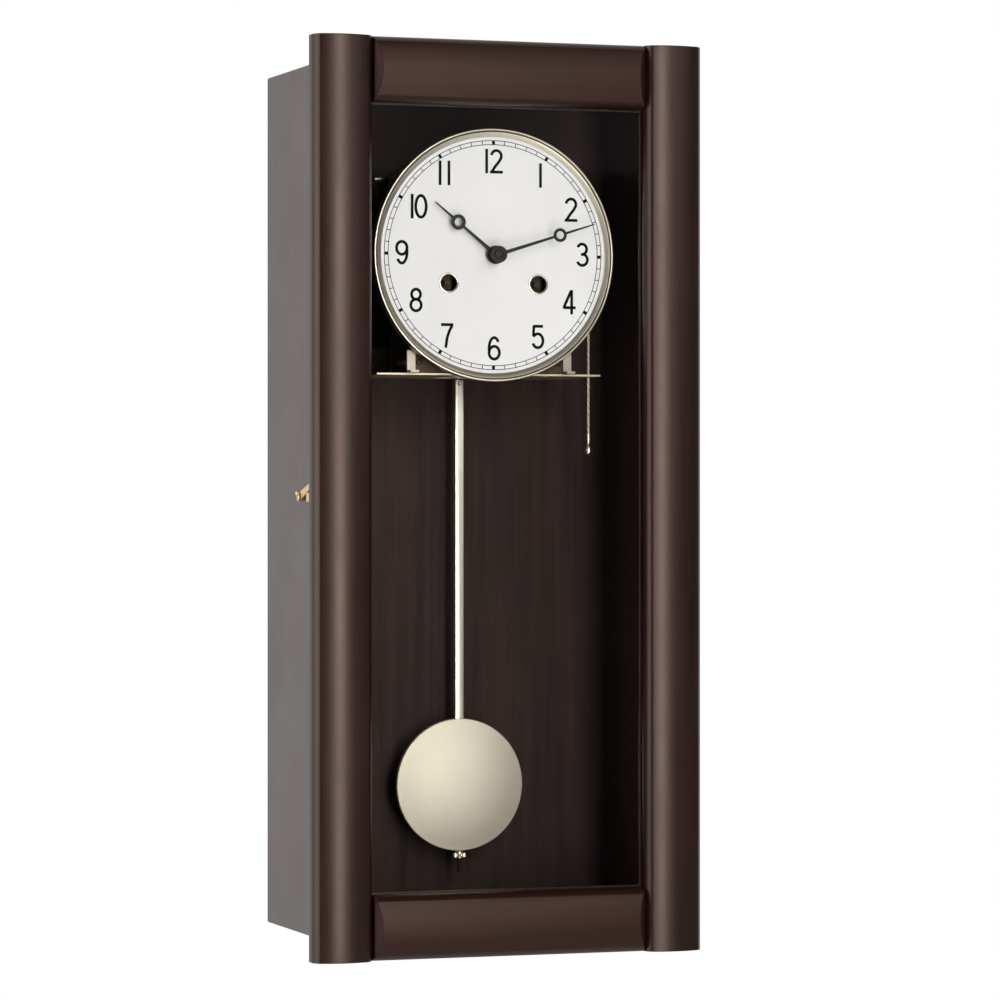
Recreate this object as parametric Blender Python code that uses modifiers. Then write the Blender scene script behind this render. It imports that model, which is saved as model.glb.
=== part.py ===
"""A pendulum wall clock with a glazed wooden door, hour strike and a pull cord.

Sizes are in millimetres and become metres in the helpers. +X is the viewer's right and +Z is up.
The origin is the centre of the face that hangs on the wall. Depths are given as the distance
forward from the wall, so a depth d lies at y = -d.
"""
from math import atan2, cos, pi, radians, sin, sqrt

import bmesh
import bpy
from mathutils import Matrix, Vector

MM = 0.001
GAP = 0.3            # between pieces that touch
RUN = 0.1            # radial clearance of a shaft in its bearing

# door and case
DOOR_WIDTH = 265.0
DOOR_HEIGHT = 590.0
MOULDING_WIDTH = 40.0
RAIL_WIDTH = 42.0
MOULDING_BACK = 5.8      # straight edge behind the taper
MOULDING_TAPER = 7.2     # depth of the tapered band
TAPER_WIDTH = 3.9
MOULDING_CROWN = 3.0     # rise of the convex face
RAIL_CHAMFER = 4.5
CASE_DEPTH = 123.1
CASE_INSET = 8.0         # the door overhangs the case by this much on each side
CASE_HEIGHT = 560.0
CASE_MIDDLE = -1.1
PANEL = 14.0
BACKBOARD = 7.3
REBATE = 6.0
GLASS = 2.0
BEAD = 1.8

# movement: its heights follow the centre of the dial and its depths follow the two plates
DIAL_Z = 158.5
FRONT_PLATE = 90.5       # front face of the front plate
BACK_PLATE = 51.4        # rear face of the back plate
PLATE_THICK = 1.9
PLATE_HALF = 55.0
PLATE_TOP = DIAL_Z + 53.5
PILLAR_X = 48.0
PILLAR_INSET = 7.0
PILLAR_RADIUS = 2.6
PILLAR_END = 3.6         # radius of a pillar's shoulders
DIAL_FRONT = FRONT_PLATE + 9.2
DIAL_THICK = 0.8
BEZEL_RADIUS = 82.5
BEZEL_WALL = 1.5         # outer wall, inside which the dial sits
BEZEL_BAND = 5.5         # from the outside to the lip over the dial
BEZEL_RIM = DIAL_FRONT + 3.1
BEZEL_BACK = DIAL_FRONT - 3.7
DIAL_RADIUS = BEZEL_RADIUS - BEZEL_WALL - 0.4
WINDING_X = 30.8
WINDING_DROP = 18.5
WINDING_HOLE = 6.3
WINDING_ARBOR = 2.6
WINDING_PIVOT = 1.5
WINDING_SQUARE = 3.2
SEAT_Z = DIAL_Z - 78.2
SEAT_THICK = 1.2
SEAT_HALF = 77.0
SEAT_FRONT = FRONT_PLATE + 1.5
FOOT_HEIGHT = 14.4
FOOT_THICK = 1.5
FOOT_REACH = 9.0

# hands and the arbor they turn on
HAND_THICK = 0.9
MINUTE_HAND = 69.0
MINUTE_RING = 44.0
MINUTE_DEPTH = DIAL_FRONT + 11.8
MINUTE_ANGLE = 72.5
HOUR_HAND = 53.3
HOUR_RING = 33.0
HOUR_DEPTH = DIAL_FRONT + 4.8
HOUR_ANGLE = 309.0
CANNON_RADIUS = 2.2
CANNON_BORE = 1.3
PIPE_WALL = 1.1

# pendulum
SUSPENSION_Z = DIAL_Z + 41.5
PENDULUM_DEPTH = 29.3
LEADER_RADIUS = 1.0
BLOCK_DROP = 16.0        # foot of the suspension block below its pivot
CRUTCH_DROP = 42.0
ROD_TOP = DIAL_Z - 79.5
ROD_WIDTH = 5.6
ROD_THICK = 2.0
BOB_RADIUS = 44.1
BOB_Z = -190.7
BOB_THICK = 13.5
BOB_RIM = 3.0            # thickness at the edge
BOB_FULLER = 0.75        # the front stands this much fuller than the back
THREAD_RADIUS = 1.25
THREAD_LENGTH = 14.9
NUT_RADIUS = 4.65
NUT_HEIGHT = 4.6

# strike and pull
BELL_RADIUS = 20.5
BELL_HEIGHT = 16.5
BELL_WALL = 1.5
BELL_BORE = 2.3
BELL_X = -28.6
BELL_DEPTH = BACK_PLATE - 1.4 - BELL_RADIUS
BELL_TOP = DIAL_Z + 62.2
HAMMER_PIVOT = (-50.0, DIAL_Z + 13.5)
HAMMER_HEAD = (BELL_X - BELL_RADIUS - 7.65, DIAL_Z + 53.0)
HAMMER_DEPTH = BELL_DEPTH
HEAD_LENGTH = 7.7
HEAD_RADIUS = 1.9
HAMMER_WIRE = 0.9
LEVER = (46.0, DIAL_Z - 18.5)
PULL_X = 80.7
PULL_TOP = DIAL_Z - 31.5
CORD_RADIUS = 0.8
BEAD_TOP = DIAL_Z - 115.0
BEAD_RADIUS = 2.6
BEAD_SLEEVE = 1.5

# hinges and latch
HINGE_Z = 190.0
HINGE_HALF = 18.0
HINGE_STAND = 3.0        # pin centre outside the case and behind the door
KNUCKLE_RADIUS = 2.4
PIN_RADIUS = 1.0
LEAF_WIDTH = 24.5        # from the pin to the edge of the case leaf
LATCH_DEPTH = CASE_DEPTH - 32.1
LATCH_Z = 1.0
LATCH_REACH = 27.0
LATCH_REST = 14.0        # degrees that the hook rests above its pin
LATCH_STAND = 3.3        # clear space between the case and the hook
LATCH_THICK = 1.4

# what follows from the sizes above
DOOR_BACK = CASE_DEPTH + 0.4
TAPER_START = DOOR_BACK + MOULDING_BACK
ARRIS = TAPER_START + MOULDING_TAPER
DOOR_X = DOOR_WIDTH / 2
DOOR_Z = DOOR_HEIGHT / 2
CASE_X = DOOR_X - CASE_INSET
INNER_X = CASE_X - PANEL
CASE_TOP = CASE_MIDDLE + CASE_HEIGHT / 2
CASE_FOOT = CASE_MIDDLE - CASE_HEIGHT / 2
OPENING_X = DOOR_X - MOULDING_WIDTH
OPENING_Z = DOOR_Z - RAIL_WIDTH
GLASS_BACK = DOOR_BACK + BEAD + 2 * GAP + 0.1
PLATE_FOOT = SEAT_Z + SEAT_THICK + GAP
FRONT_PLATE_BACK = FRONT_PLATE - PLATE_THICK
BACK_PLATE_FRONT = BACK_PLATE + PLATE_THICK
CENTRE = (0.0, DIAL_Z)
GOING = (WINDING_X, DIAL_Z - WINDING_DROP)
STRIKING = (-WINDING_X, DIAL_Z - WINDING_DROP)
HINGE_X = CASE_X + HINGE_STAND
HINGE_DEPTH = DOOR_BACK - HINGE_STAND
BOB_FOOT = BOB_Z - BOB_RADIUS
ARBOR = 1.2              # radius of the train's arbors
PIVOT = 0.8              # radius of their ends in the plates

# wheels: teeth, pinion leaves and the places of their arbors
BARREL_TEETH = 48
BARREL_PINION = 6
CENTRE_TEETH = 48
THIRD_PINION = 6
THIRD_TEETH = 60
ESCAPE_PINION = 6
ESCAPE_TEETH = 36
ESCAPE_RADIUS = 11.0
CANNON_LEAVES = 8
MINUTE_TEETH = 24
MINUTE_LEAVES = 8
HOUR_TEETH = 32
HAMMER_TEETH = 48
FLY_PINION = 8
LIFTING_PINS = 8
PIN_CIRCLE = 11.0
LIFTING_PIN = 0.8
MOTION_DISTANCE = 14.0
THIRD_DISTANCE = 22.3
THIRD_OFFSET = 18.0
ESCAPE_DROP = 15.0
HAMMER_BEARING = 80.0    # degrees above the horizontal, from the strike barrel's arbor
FLY_BEARING = 150.0
FLY_DISTANCE = 16.8


def layer(face, low, high):
    """A span of depth in front of a plate's face, or behind it if negative."""
    return (face + low, face + high)


# layers in front of the back plate, rear to front
PALLETS = layer(BACK_PLATE_FRONT, 2.4, 4.5)
ESCAPE_WHEEL = layer(BACK_PLATE_FRONT, 2.7, 4.2)
PINS = layer(BACK_PLATE_FRONT, 5.2, 8.2)
HAMMER_TAIL = layer(BACK_PLATE_FRONT, 5.4, 6.9)
ESCAPE_LEAVES = layer(BACK_PLATE_FRONT, 5.9, 9.0)
THIRD_WHEEL = layer(BACK_PLATE_FRONT, 6.7, 8.2)
FLY_LEAVES = layer(BACK_PLATE_FRONT, 7.0, 9.9)
PIN_WHEEL = layer(BACK_PLATE_FRONT, 7.7, 9.2)
THIRD_LEAVES = layer(BACK_PLATE_FRONT, 10.5, 13.4)
CENTRE_WHEEL = layer(BACK_PLATE_FRONT, 11.2, 12.7)
PIN_WHEEL_LEAVES = layer(BACK_PLATE_FRONT, 13.3, 16.5)
STRIKE_TEETH = layer(BACK_PLATE_FRONT, 13.9, 15.9)
LEVER_DEPTH = BACK_PLATE_FRONT + 6.0
# layers behind the front plate
CENTRE_LEAVES = layer(FRONT_PLATE_BACK, -4.4, -0.8)
GOING_TEETH = layer(FRONT_PLATE_BACK, -3.6, -1.6)
FLY_VANE = (BACK_PLATE_FRONT + 12.7, FRONT_PLATE_BACK - 4.6)
STRIKE_DRUM = (STRIKE_TEETH[1] - 0.5, FRONT_PLATE_BACK - 3.1)
GOING_DRUM = (BACK_PLATE_FRONT + 16.2, GOING_TEETH[0] + 0.5)
# layers of the motion work, in front of the front plate
CANNON_PINION = layer(FRONT_PLATE, 1.7, 3.3)
MINUTE_WHEEL = layer(FRONT_PLATE, 1.9, 3.1)
MINUTE_PINION = layer(FRONT_PLATE, 2.8, 5.7)
HOUR_WHEEL = layer(FRONT_PLATE, 4.2, 5.4)
# parts behind the back plate
SHAFT_END = BACK_PLATE - 6.4
CRUTCH = (BACK_PLATE - 6.0, BACK_PLATE - 4.6)

# places of the arbors as (x, z)
THIRD = (THIRD_OFFSET, DIAL_Z + sqrt(THIRD_DISTANCE ** 2 - THIRD_OFFSET ** 2))
ESCAPE = (0.0, SUSPENSION_Z - ESCAPE_DROP)
MINUTE = (0.0, DIAL_Z - MOTION_DISTANCE)
BARREL_DISTANCE = sqrt(WINDING_X ** 2 + WINDING_DROP ** 2)
HAMMER_ARBOR = (STRIKING[0] + BARREL_DISTANCE * cos(radians(HAMMER_BEARING)),
                STRIKING[1] + BARREL_DISTANCE * sin(radians(HAMMER_BEARING)))
FLY = (HAMMER_ARBOR[0] + FLY_DISTANCE * cos(radians(FLY_BEARING)),
       HAMMER_ARBOR[1] + FLY_DISTANCE * sin(radians(FLY_BEARING)))

FINISHES = {
    "walnut": ((0.045, 0.020, 0.015), 0.32, 0.0),
    "brass": ((0.62, 0.56, 0.42), 0.32, 1.0),
    "steel": ((0.55, 0.55, 0.56), 0.35, 1.0),
    "blackened": ((0.012, 0.011, 0.011), 0.38, 0.6),
    "white": ((0.80, 0.80, 0.79), 0.42, 0.0),
    "cord": ((0.72, 0.67, 0.52), 0.75, 0.0),
    "glass": ((0.92, 0.95, 0.95), 0.03, 0.0),
}


def collection(name):
    made = bpy.data.collections.new(name)
    bpy.context.scene.collection.children.link(made)
    return made


for old in list(bpy.data.objects):
    bpy.data.objects.remove(old, do_unlink=True)
CLOCK = collection("wall_clock")
HELPERS = collection("cutters")


def finished(obj, finish, smooth=True):
    """Gives a part its own material and files it with the clock; without a finish it is a helper."""
    if finish is None:
        helper(obj)
        return obj
    colour, roughness, metallic = FINISHES[finish]
    material = bpy.data.materials.new(obj.name + "_" + finish)
    material.use_nodes = True
    shader = material.node_tree.nodes["Principled BSDF"]
    shader.inputs["Base Color"].default_value = (*colour, 1.0)
    shader.inputs["Roughness"].default_value = roughness
    shader.inputs["Metallic"].default_value = metallic
    obj.data.materials.append(material)
    CLOCK.objects.link(obj)
    if smooth:
        obj.data.shade_smooth()
        obj.data.set_sharp_from_angle(angle=0.6)
    return obj


def helper(obj):
    """A shape that cuts or joins another and isn't a part itself."""
    for holder in list(obj.users_collection):
        holder.objects.unlink(obj)
    HELPERS.objects.link(obj)
    obj.hide_render = True
    obj.display_type = "WIRE"


def new_object(name, mesh, finish):
    return finished(bpy.data.objects.new(name, mesh), finish)


def box(name, x, depth, z, finish=None, bevel=0.0):
    """A block between two values of x, of depth and of height."""
    size = Vector((x[1] - x[0], depth[1] - depth[0], z[1] - z[0])) * MM
    middle = Vector((x[0] + x[1], -depth[0] - depth[1], z[0] + z[1])) * MM / 2
    bm = bmesh.new()
    bmesh.ops.create_cube(bm, size=1.0, matrix=Matrix.Diagonal((*size, 1.0)))
    mesh = bpy.data.meshes.new(name)
    bm.to_mesh(mesh)
    bm.free()
    obj = new_object(name, mesh, finish)
    obj.location = middle
    if bevel:
        rounded(obj, bevel)
    return obj


def rounded(obj, width, segments=1):
    modifier = obj.modifiers.new("edges", "BEVEL")
    modifier.width = width * MM
    modifier.segments = segments
    modifier.limit_method = "ANGLE"
    modifier.angle_limit = 0.7


# turns of the drawing plane: its own x, y and z lie along these world directions
TURNS = {
    "front": Matrix(((1, 0, 0), (0, 0, -1), (0, 1, 0))),   # x, up, towards the viewer
    "top": Matrix(((1, 0, 0), (0, -1, 0), (0, 0, -1))),    # x, forward, down
    "side": Matrix(((0, 0, -1), (-1, 0, 0), (0, 1, 0))),   # forward, up, towards the left
}


def flat(name, outlines, span, facing="front", finish=None):
    """Flat stock cut to closed outlines, the inner ones being holes, between two values of its thickness."""
    curve = bpy.data.curves.new(name, "CURVE")
    curve.dimensions = "2D"
    curve.fill_mode = "BOTH"
    curve.extrude = (span[1] - span[0]) / 2 * MM
    for outline in outlines:
        spline = curve.splines.new("POLY")
        spline.points.add(len(outline) - 1)
        for point, (u, v) in zip(spline.points, outline):
            point.co = (u * MM, v * MM, 0.0, 1.0)
        spline.use_cyclic_u = True
    middle = (span[0] + span[1]) / 2 * MM
    along = {"front": (0, -middle, 0), "top": (0, 0, middle), "side": (middle, 0, 0)}[facing]
    place = Matrix.Translation(along) @ TURNS[facing].to_4x4()
    return meshed(name, curve, place, finish)


def meshed(name, curve, place, finish):
    """The curve made a closed mesh, so that it can be cut and joined."""
    drawn = bpy.data.objects.new(name + "_drawn", curve)
    bpy.context.scene.collection.objects.link(drawn)
    bpy.context.view_layer.update()
    graph = bpy.context.evaluated_depsgraph_get()
    mesh = bpy.data.meshes.new_from_object(drawn.evaluated_get(graph))
    bpy.data.objects.remove(drawn, do_unlink=True)
    bm = bmesh.new()
    bm.from_mesh(mesh)
    bmesh.ops.remove_doubles(bm, verts=bm.verts, dist=1e-6)
    bmesh.ops.recalc_face_normals(bm, faces=bm.faces)
    bm.to_mesh(mesh)
    bm.free()
    mesh.name = name
    obj = new_object(name, mesh, finish)
    obj.matrix_world = place
    return obj


def turned(name, profile, place=(0.0, 0.0), axis="front", finish=None, steps=24, closed=False):
    """A profile of (radius, distance) points, top to bottom on its outside, turned about an axis.

    The axis points forward through (x, z) and distance is the depth, or it points up through
    (x, depth) and distance is z, or it points right through (depth, z) and distance is x.
    """
    mesh = bpy.data.meshes.new(name)
    points = [(radius * MM, 0.0, along * MM) for radius, along in profile]
    edges = [(i, i + 1) for i in range(len(points) - 1)]
    if closed:
        edges.append((len(points) - 1, 0))
    mesh.from_pydata(points, edges, [])
    obj = new_object(name, mesh, finish)
    if axis == "front":
        obj.location = (place[0] * MM, 0.0, place[1] * MM)
        obj.rotation_euler = (pi / 2, 0.0, 0.0)
    elif axis == "up":
        obj.location = (place[0] * MM, -place[1] * MM, 0.0)
    else:
        obj.location = (0.0, -place[0] * MM, place[1] * MM)
        obj.rotation_euler = (0.0, pi / 2, 0.0)
    screw = obj.modifiers.new("turn", "SCREW")
    screw.steps = steps
    screw.render_steps = steps
    screw.use_merge_vertices = True
    screw.merge_threshold = 1e-6
    screw.use_smooth_shade = True
    return obj


def rod(name, radius, span, place=(0.0, 0.0), axis="front", finish=None, steps=16):
    low, high = span
    return turned(name, [(0.0, high), (radius, high), (radius, low), (0.0, low)], place, axis, finish, steps)


def ring(name, inner, outer, span, place=(0.0, 0.0), axis="front", finish=None, steps=24):
    low, high = span
    profile = [(outer, high), (outer, low), (inner, low), (inner, high)]
    return turned(name, profile, place, axis, finish, steps, closed=True)


def wire(name, points, radius, finish=None, resolution=2):
    """A round wire through points given as (x, depth, z)."""
    curve = bpy.data.curves.new(name, "CURVE")
    curve.dimensions = "3D"
    curve.bevel_depth = radius * MM
    curve.bevel_resolution = resolution
    curve.use_fill_caps = True
    spline = curve.splines.new("POLY")
    spline.points.add(len(points) - 1)
    for point, (x, depth, z) in zip(spline.points, points):
        point.co = (x * MM, -depth * MM, z * MM, 1.0)
    return meshed(name, curve, Matrix.Identity(4), finish)


def boolean(obj, operation, others):
    for other in others:
        helper(other)
        modifier = obj.modifiers.new(operation.lower(), "BOOLEAN")
        modifier.operation = operation
        modifier.object = other
    return obj


def joined(obj, *others):
    return boolean(obj, "UNION", others)


def cut(obj, *others):
    return boolean(obj, "DIFFERENCE", others)


def pivoted(name, point, *parts):
    """Hangs parts from an empty on their joint's axis; the point is (x, depth, z)."""
    empty = bpy.data.objects.new(name, None)
    empty.empty_display_size = 0.02
    empty.location = Vector((point[0], -point[1], point[2])) * MM
    CLOCK.objects.link(empty)
    for part in parts:
        part.parent = empty
        part.matrix_parent_inverse = Matrix.Translation(empty.location).inverted()
    return empty


def circle(radius, centre=(0.0, 0.0), count=16):
    return [(centre[0] + radius * cos(2 * pi * i / count), centre[1] + radius * sin(2 * pi * i / count))
            for i in range(count)]


def rectangle(x, y):
    return [(x[0], y[0]), (x[1], y[0]), (x[1], y[1]), (x[0], y[1])]


def gear(teeth, radius, centre, towards, tooth=True):
    """Outline of a spur gear with a tooth, or a gap, pointing at another arbor.

    A wheel's teeth are pointed and a pinion's leaves have flat tops.
    """
    pitch = 2 * pi / teeth
    module = 2 * radius / teeth
    start = atan2(towards[1] - centre[1], towards[0] - centre[0]) + (0.0 if tooth else pitch / 2)
    root = radius - 1.05 * module
    tip = radius + 0.7 * module
    leaf = ((root, -0.23), (tip, -0.11), (tip, 0.11), (root, 0.23))
    pointed = ((root, -0.26), (tip, 0.0), (root, 0.26))
    corners = leaf if teeth < 20 else pointed
    return [(centre[0] + r * cos(start + (i + share) * pitch), centre[1] + r * sin(start + (i + share) * pitch))
            for i in range(teeth) for r, share in corners]


def distance(a, b):
    return sqrt((a[0] - b[0]) ** 2 + (a[1] - b[1]) ** 2)


def moulding(width, low_side):
    """Cross-section of a stile or rail as (across, depth), from its outer edge at low_side."""
    crown_steps = 10
    left, right = low_side, low_side + width
    half = width / 2 - TAPER_WIDTH
    middle = (left + right) / 2
    bend = (half ** 2 + MOULDING_CROWN ** 2) / (2 * MOULDING_CROWN)
    points = [(left, DOOR_BACK), (right, DOOR_BACK), (right, TAPER_START)]
    for i in range(crown_steps + 1):
        across = half - 2 * half * i / crown_steps
        points.append((middle + across, ARRIS + sqrt(bend ** 2 - across ** 2) - bend + MOULDING_CROWN))
    return points + [(left, TAPER_START)]


# ---- case ----

def case_panels():
    for name, side in (("case_side_left", -1), ("case_side_right", 1)):
        x = sorted((side * INNER_X, side * CASE_X))
        box(name, x, (0.0, CASE_DEPTH), (CASE_FOOT, CASE_TOP), "walnut", bevel=0.6)
    inside = (-INNER_X + GAP, INNER_X - GAP)
    box("case_top", inside, (0.0, CASE_DEPTH), (CASE_TOP - PANEL, CASE_TOP), "walnut", bevel=0.5)
    box("case_bottom", inside, (0.0, CASE_DEPTH), (CASE_FOOT, CASE_FOOT + PANEL), "walnut", bevel=0.5)
    board = box("backboard", inside, (0.0, BACKBOARD),
                (CASE_FOOT + PANEL + GAP, CASE_TOP - PANEL - GAP), "walnut")
    hanger(board)


def hanger(board):
    """A keyhole plate let into the back of the backboard, with a hollow behind it for a screw head."""
    half_width, half_height, thick = 23.0, 12.0, 1.5
    middle = CASE_TOP - PANEL - 26.0
    head, neck, rise = 5.0, 2.4, 6.0
    ledge = box("hanger_ledge", (-half_width, half_width), (-1.0, thick + GAP),
                (middle - half_height, middle + half_height))
    hollow = box("hanger_hollow", (-head - 3.0, head + 3.0), (-1.0, BACKBOARD - 1.5),
                 (middle - 9.0, middle + 10.0))
    cut(board, ledge, hollow)
    keyhole = [(head * cos(radians(a)), middle - 3.0 + head * sin(radians(a))) for a in range(120, 421, 20)]
    keyhole += [(neck, middle + rise), (0.0, middle + rise + neck), (-neck, middle + rise)]
    edge = rectangle((GAP - half_width, half_width - GAP), (middle - half_height + GAP, middle + half_height - GAP))
    flat("hanger_plate", [edge, keyhole], (0.0, thick), finish="steel")


# ---- door ----

def door():
    parts = []
    low, high = DOOR_BACK - 1.0, GLASS_BACK + GLASS + GAP
    for name, side in (("door_stile_left", -1), ("door_stile_right", 1)):
        start = -DOOR_X if side < 0 else OPENING_X
        stile = flat(name, [moulding(MOULDING_WIDTH, start)], (-DOOR_Z, DOOR_Z), "top", "walnut")
        x = sorted((side * (OPENING_X - 1.0), side * (OPENING_X + REBATE)))
        cut(stile, box(name + "_rebate", x, (low, high), (-OPENING_Z - REBATE, OPENING_Z + REBATE)))
        parts.append(stile)
    length = OPENING_X - GAP
    for name, side in (("door_rail_top", 1), ("door_rail_bottom", -1)):
        start = OPENING_Z if side > 0 else -DOOR_Z
        section = [(depth, z) for z, depth in moulding(RAIL_WIDTH, start)]
        rail = flat(name, [section], (-length, length), "side", "walnut")
        z = sorted((side * (OPENING_Z - 1.0), side * (OPENING_Z + REBATE)))
        cut(rail, box(name + "_rebate", (-DOOR_X, DOOR_X), (low, high), z))
        front = ARRIS + MOULDING_CROWN
        for end in (-1, 1):
            wedge = [(end * (length + 1.0), front - RAIL_CHAMFER - 1.0), (end * (length + 1.0), front + 1.0),
                     (end * (length - RAIL_CHAMFER - 1.0), front + 1.0)]
            span = sorted((side * (OPENING_Z - 5.0), side * (DOOR_Z + 5.0)))
            cut(rail, flat(name + "_chamfer", [wedge], span, "top"))
        parts.append(rail)
    pane_x, pane_z = OPENING_X + REBATE - 0.5, OPENING_Z + REBATE - 0.5
    parts.append(box("door_glass", (-pane_x, pane_x), (GLASS_BACK, GLASS_BACK + GLASS), (-pane_z, pane_z), "glass"))
    inner = rectangle((1.0 - OPENING_X, OPENING_X - 1.0), (1.0 - OPENING_Z, OPENING_Z - 1.0))
    outer = rectangle((-pane_x, pane_x), (-pane_z, pane_z))
    parts.append(flat("glass_retainer", [outer, inner], (DOOR_BACK + 0.4, DOOR_BACK + 0.4 + BEAD), finish="walnut"))
    parts += [hinge("upper", HINGE_Z), hinge("lower", -HINGE_Z), catch_pin()]
    pivoted("door_axis", (HINGE_X, HINGE_DEPTH, 0.0), *parts)


def hinge(which, z):
    """A case leaf that carries the pin in its middle knuckle, and a door leaf with the outer two."""
    name = "hinge_" + which
    middle = HINGE_HALF / 3
    place = (HINGE_X, HINGE_DEPTH)
    side = (CASE_X + GAP, CASE_X + 1.5)
    leaf = box(name + "_case_leaf", side, (HINGE_DEPTH - LEAF_WIDTH, HINGE_DEPTH - KNUCKLE_RADIUS - 0.5),
               (z - HINGE_HALF, z + HINGE_HALF), "brass")
    joined(leaf,
           box(name + "_tab", side, (HINGE_DEPTH - 5.0, HINGE_DEPTH), (z - middle + 0.2, z + middle - 0.2)),
           rod(name + "_knuckle", KNUCKLE_RADIUS, (z - middle + 0.1, z + middle - 0.1), place, "up"),
           rod(name + "_pin", PIN_RADIUS, (z - HINGE_HALF - 0.6, z + HINGE_HALF + 0.6), place, "up"))
    back = (HINGE_DEPTH + 1.4, DOOR_BACK - GAP)
    edge = DOOR_X - 0.6
    door_leaf = box(name + "_door_leaf", (HINGE_X + KNUCKLE_RADIUS + GAP, edge), back,
                    (z - HINGE_HALF, z + HINGE_HALF), "brass")
    for low, high in ((z + middle + 0.1, z + HINGE_HALF), (z - HINGE_HALF, z - middle - 0.1)):
        joined(door_leaf, box(name + "_arm", (HINGE_X + 0.4, edge - 0.5), back, (low + 0.1, high - 0.1)))
        joined(door_leaf, rod(name + "_barrel", KNUCKLE_RADIUS, (low, high), place, "up"))
    bore = rod(name + "_bore", PIN_RADIUS + RUN, (z - HINGE_HALF - 2.0, z + HINGE_HALF + 2.0), place, "up")
    return cut(door_leaf, bore)


def catch_pin():
    """A small bracket on the back of the door with the pin that the hook drops over."""
    edge = 0.6 - DOOR_X
    wall = (edge, edge + 1.6)
    pin_depth = LATCH_DEPTH + LATCH_REACH
    base = box("catch_pin", (edge, -CASE_X - 0.7), (DOOR_BACK - 1.1, DOOR_BACK - GAP),
               (LATCH_Z - 5.0, LATCH_Z + 3.0), "brass")
    return joined(base,
                  box("catch_wall", wall, (pin_depth - 2.2, DOOR_BACK - 0.5), (LATCH_Z - 3.0, LATCH_Z + 2.6)),
                  rod("catch_peg", 1.2, (wall[1] - 0.5, -CASE_X - 1.7), (pin_depth, LATCH_Z), "right", steps=12))


def latch():
    """A flat hook on a screw in the case's left side, drawn engaged and then raised to its rest."""
    plane = (-CASE_X - LATCH_STAND - LATCH_THICK, -CASE_X - LATCH_STAND)
    shape = [(-2.2, -2.4), (-5.2, 2.6), (-3.6, 4.4), (-0.5, 3.0), (LATCH_REACH - 3.0, 3.2),
             (LATCH_REACH + 3.6, 2.4), (LATCH_REACH + 4.0, -1.6), (LATCH_REACH + 1.6, -2.0),
             (LATCH_REACH + 1.6, 1.6), (LATCH_REACH - 1.6, 1.6), (LATCH_REACH - 1.6, -1.4), (22.0, -0.8),
             (2.2, -2.4)]
    lift = radians(LATCH_REST)
    raised = [(LATCH_DEPTH + a * cos(lift) - b * sin(lift), LATCH_Z + a * sin(lift) + b * cos(lift))
              for a, b in shape]
    hook = flat("latch_hook", [raised, circle(1.5 + RUN, (LATCH_DEPTH, LATCH_Z))], plane, "side", "brass")
    tail = (LATCH_DEPTH - 5.6, LATCH_Z + 2.4)
    middle, size = (plane[0] + plane[1]) / 2, 1.7
    ball = turned("latch_ball", [(size * sin(a * pi / 8), middle + size * cos(a * pi / 8)) for a in range(9)],
                  tail, "right", steps=12)
    joined(hook, ball)
    pivoted("latch_axis", (-CASE_X, LATCH_DEPTH, LATCH_Z), hook)
    turned("latch_screw",
           [(0.0, -CASE_X - GAP), (2.6, -CASE_X - GAP), (2.6, plane[1] + GAP), (1.5, plane[1] + GAP),
            (1.5, plane[0] - GAP), (3.0, plane[0] - GAP), (2.4, plane[0] - 1.5), (0.0, plane[0] - 1.5)],
           (LATCH_DEPTH, LATCH_Z), "right", "brass", steps=16)


# ---- movement ----

def shares(first, second, teeth, leaves):
    """Pitch radii of a wheel and of the pinion that it drives, from their arbors' distance."""
    apart = distance(first, second)
    return apart * teeth / (teeth + leaves), apart * leaves / (teeth + leaves)


def plates():
    through = (PLATE_FOOT, PLATE_TOP)
    holes_front = [(CENTRE, ARBOR), (THIRD, PIVOT), (ESCAPE, PIVOT), (HAMMER_ARBOR, PIVOT), (FLY, PIVOT),
                   (HAMMER_PIVOT, PIVOT), (GOING, WINDING_ARBOR), (STRIKING, WINDING_ARBOR),
                   ((0.0, SUSPENSION_Z), PIVOT)]
    holes_back = [(CENTRE, PIVOT), (THIRD, PIVOT), (ESCAPE, PIVOT), (HAMMER_ARBOR, PIVOT), (FLY, PIVOT),
                  (HAMMER_PIVOT, ARBOR), (GOING, WINDING_PIVOT), (STRIKING, WINDING_PIVOT),
                  ((0.0, SUSPENSION_Z), ARBOR), (LEVER, ARBOR)]
    for name, low, high, holes in (("front_plate", FRONT_PLATE_BACK, FRONT_PLATE, holes_front),
                                   ("back_plate", BACK_PLATE, BACK_PLATE_FRONT, holes_back)):
        outlines = [rectangle((-PLATE_HALF, PLATE_HALF), through)]
        outlines += [circle(radius + RUN, centre) for centre, radius in holes]
        plate = flat(name, outlines, (low, high), finish="brass")
        if name == "front_plate":
            joined(plate, rod("minute_stud", ARBOR, (FRONT_PLATE - 1.0, FRONT_PLATE + 6.0), MINUTE))
    for height, z in (("upper", PLATE_TOP - PILLAR_INSET), ("lower", PLATE_FOOT + PILLAR_INSET)):
        for side, x in (("left", -PILLAR_X), ("right", PILLAR_X)):
            low, high = BACK_PLATE_FRONT + GAP, FRONT_PLATE_BACK - GAP
            turned("pillar_" + height + "_" + side,
                   [(0.0, high), (PILLAR_END, high), (PILLAR_END, high - 4.0), (PILLAR_RADIUS, high - 5.0),
                    (PILLAR_RADIUS, low + 5.0), (PILLAR_END, low + 4.0), (PILLAR_END, low), (0.0, low)],
                   (x, z), finish="brass", steps=16)


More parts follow.
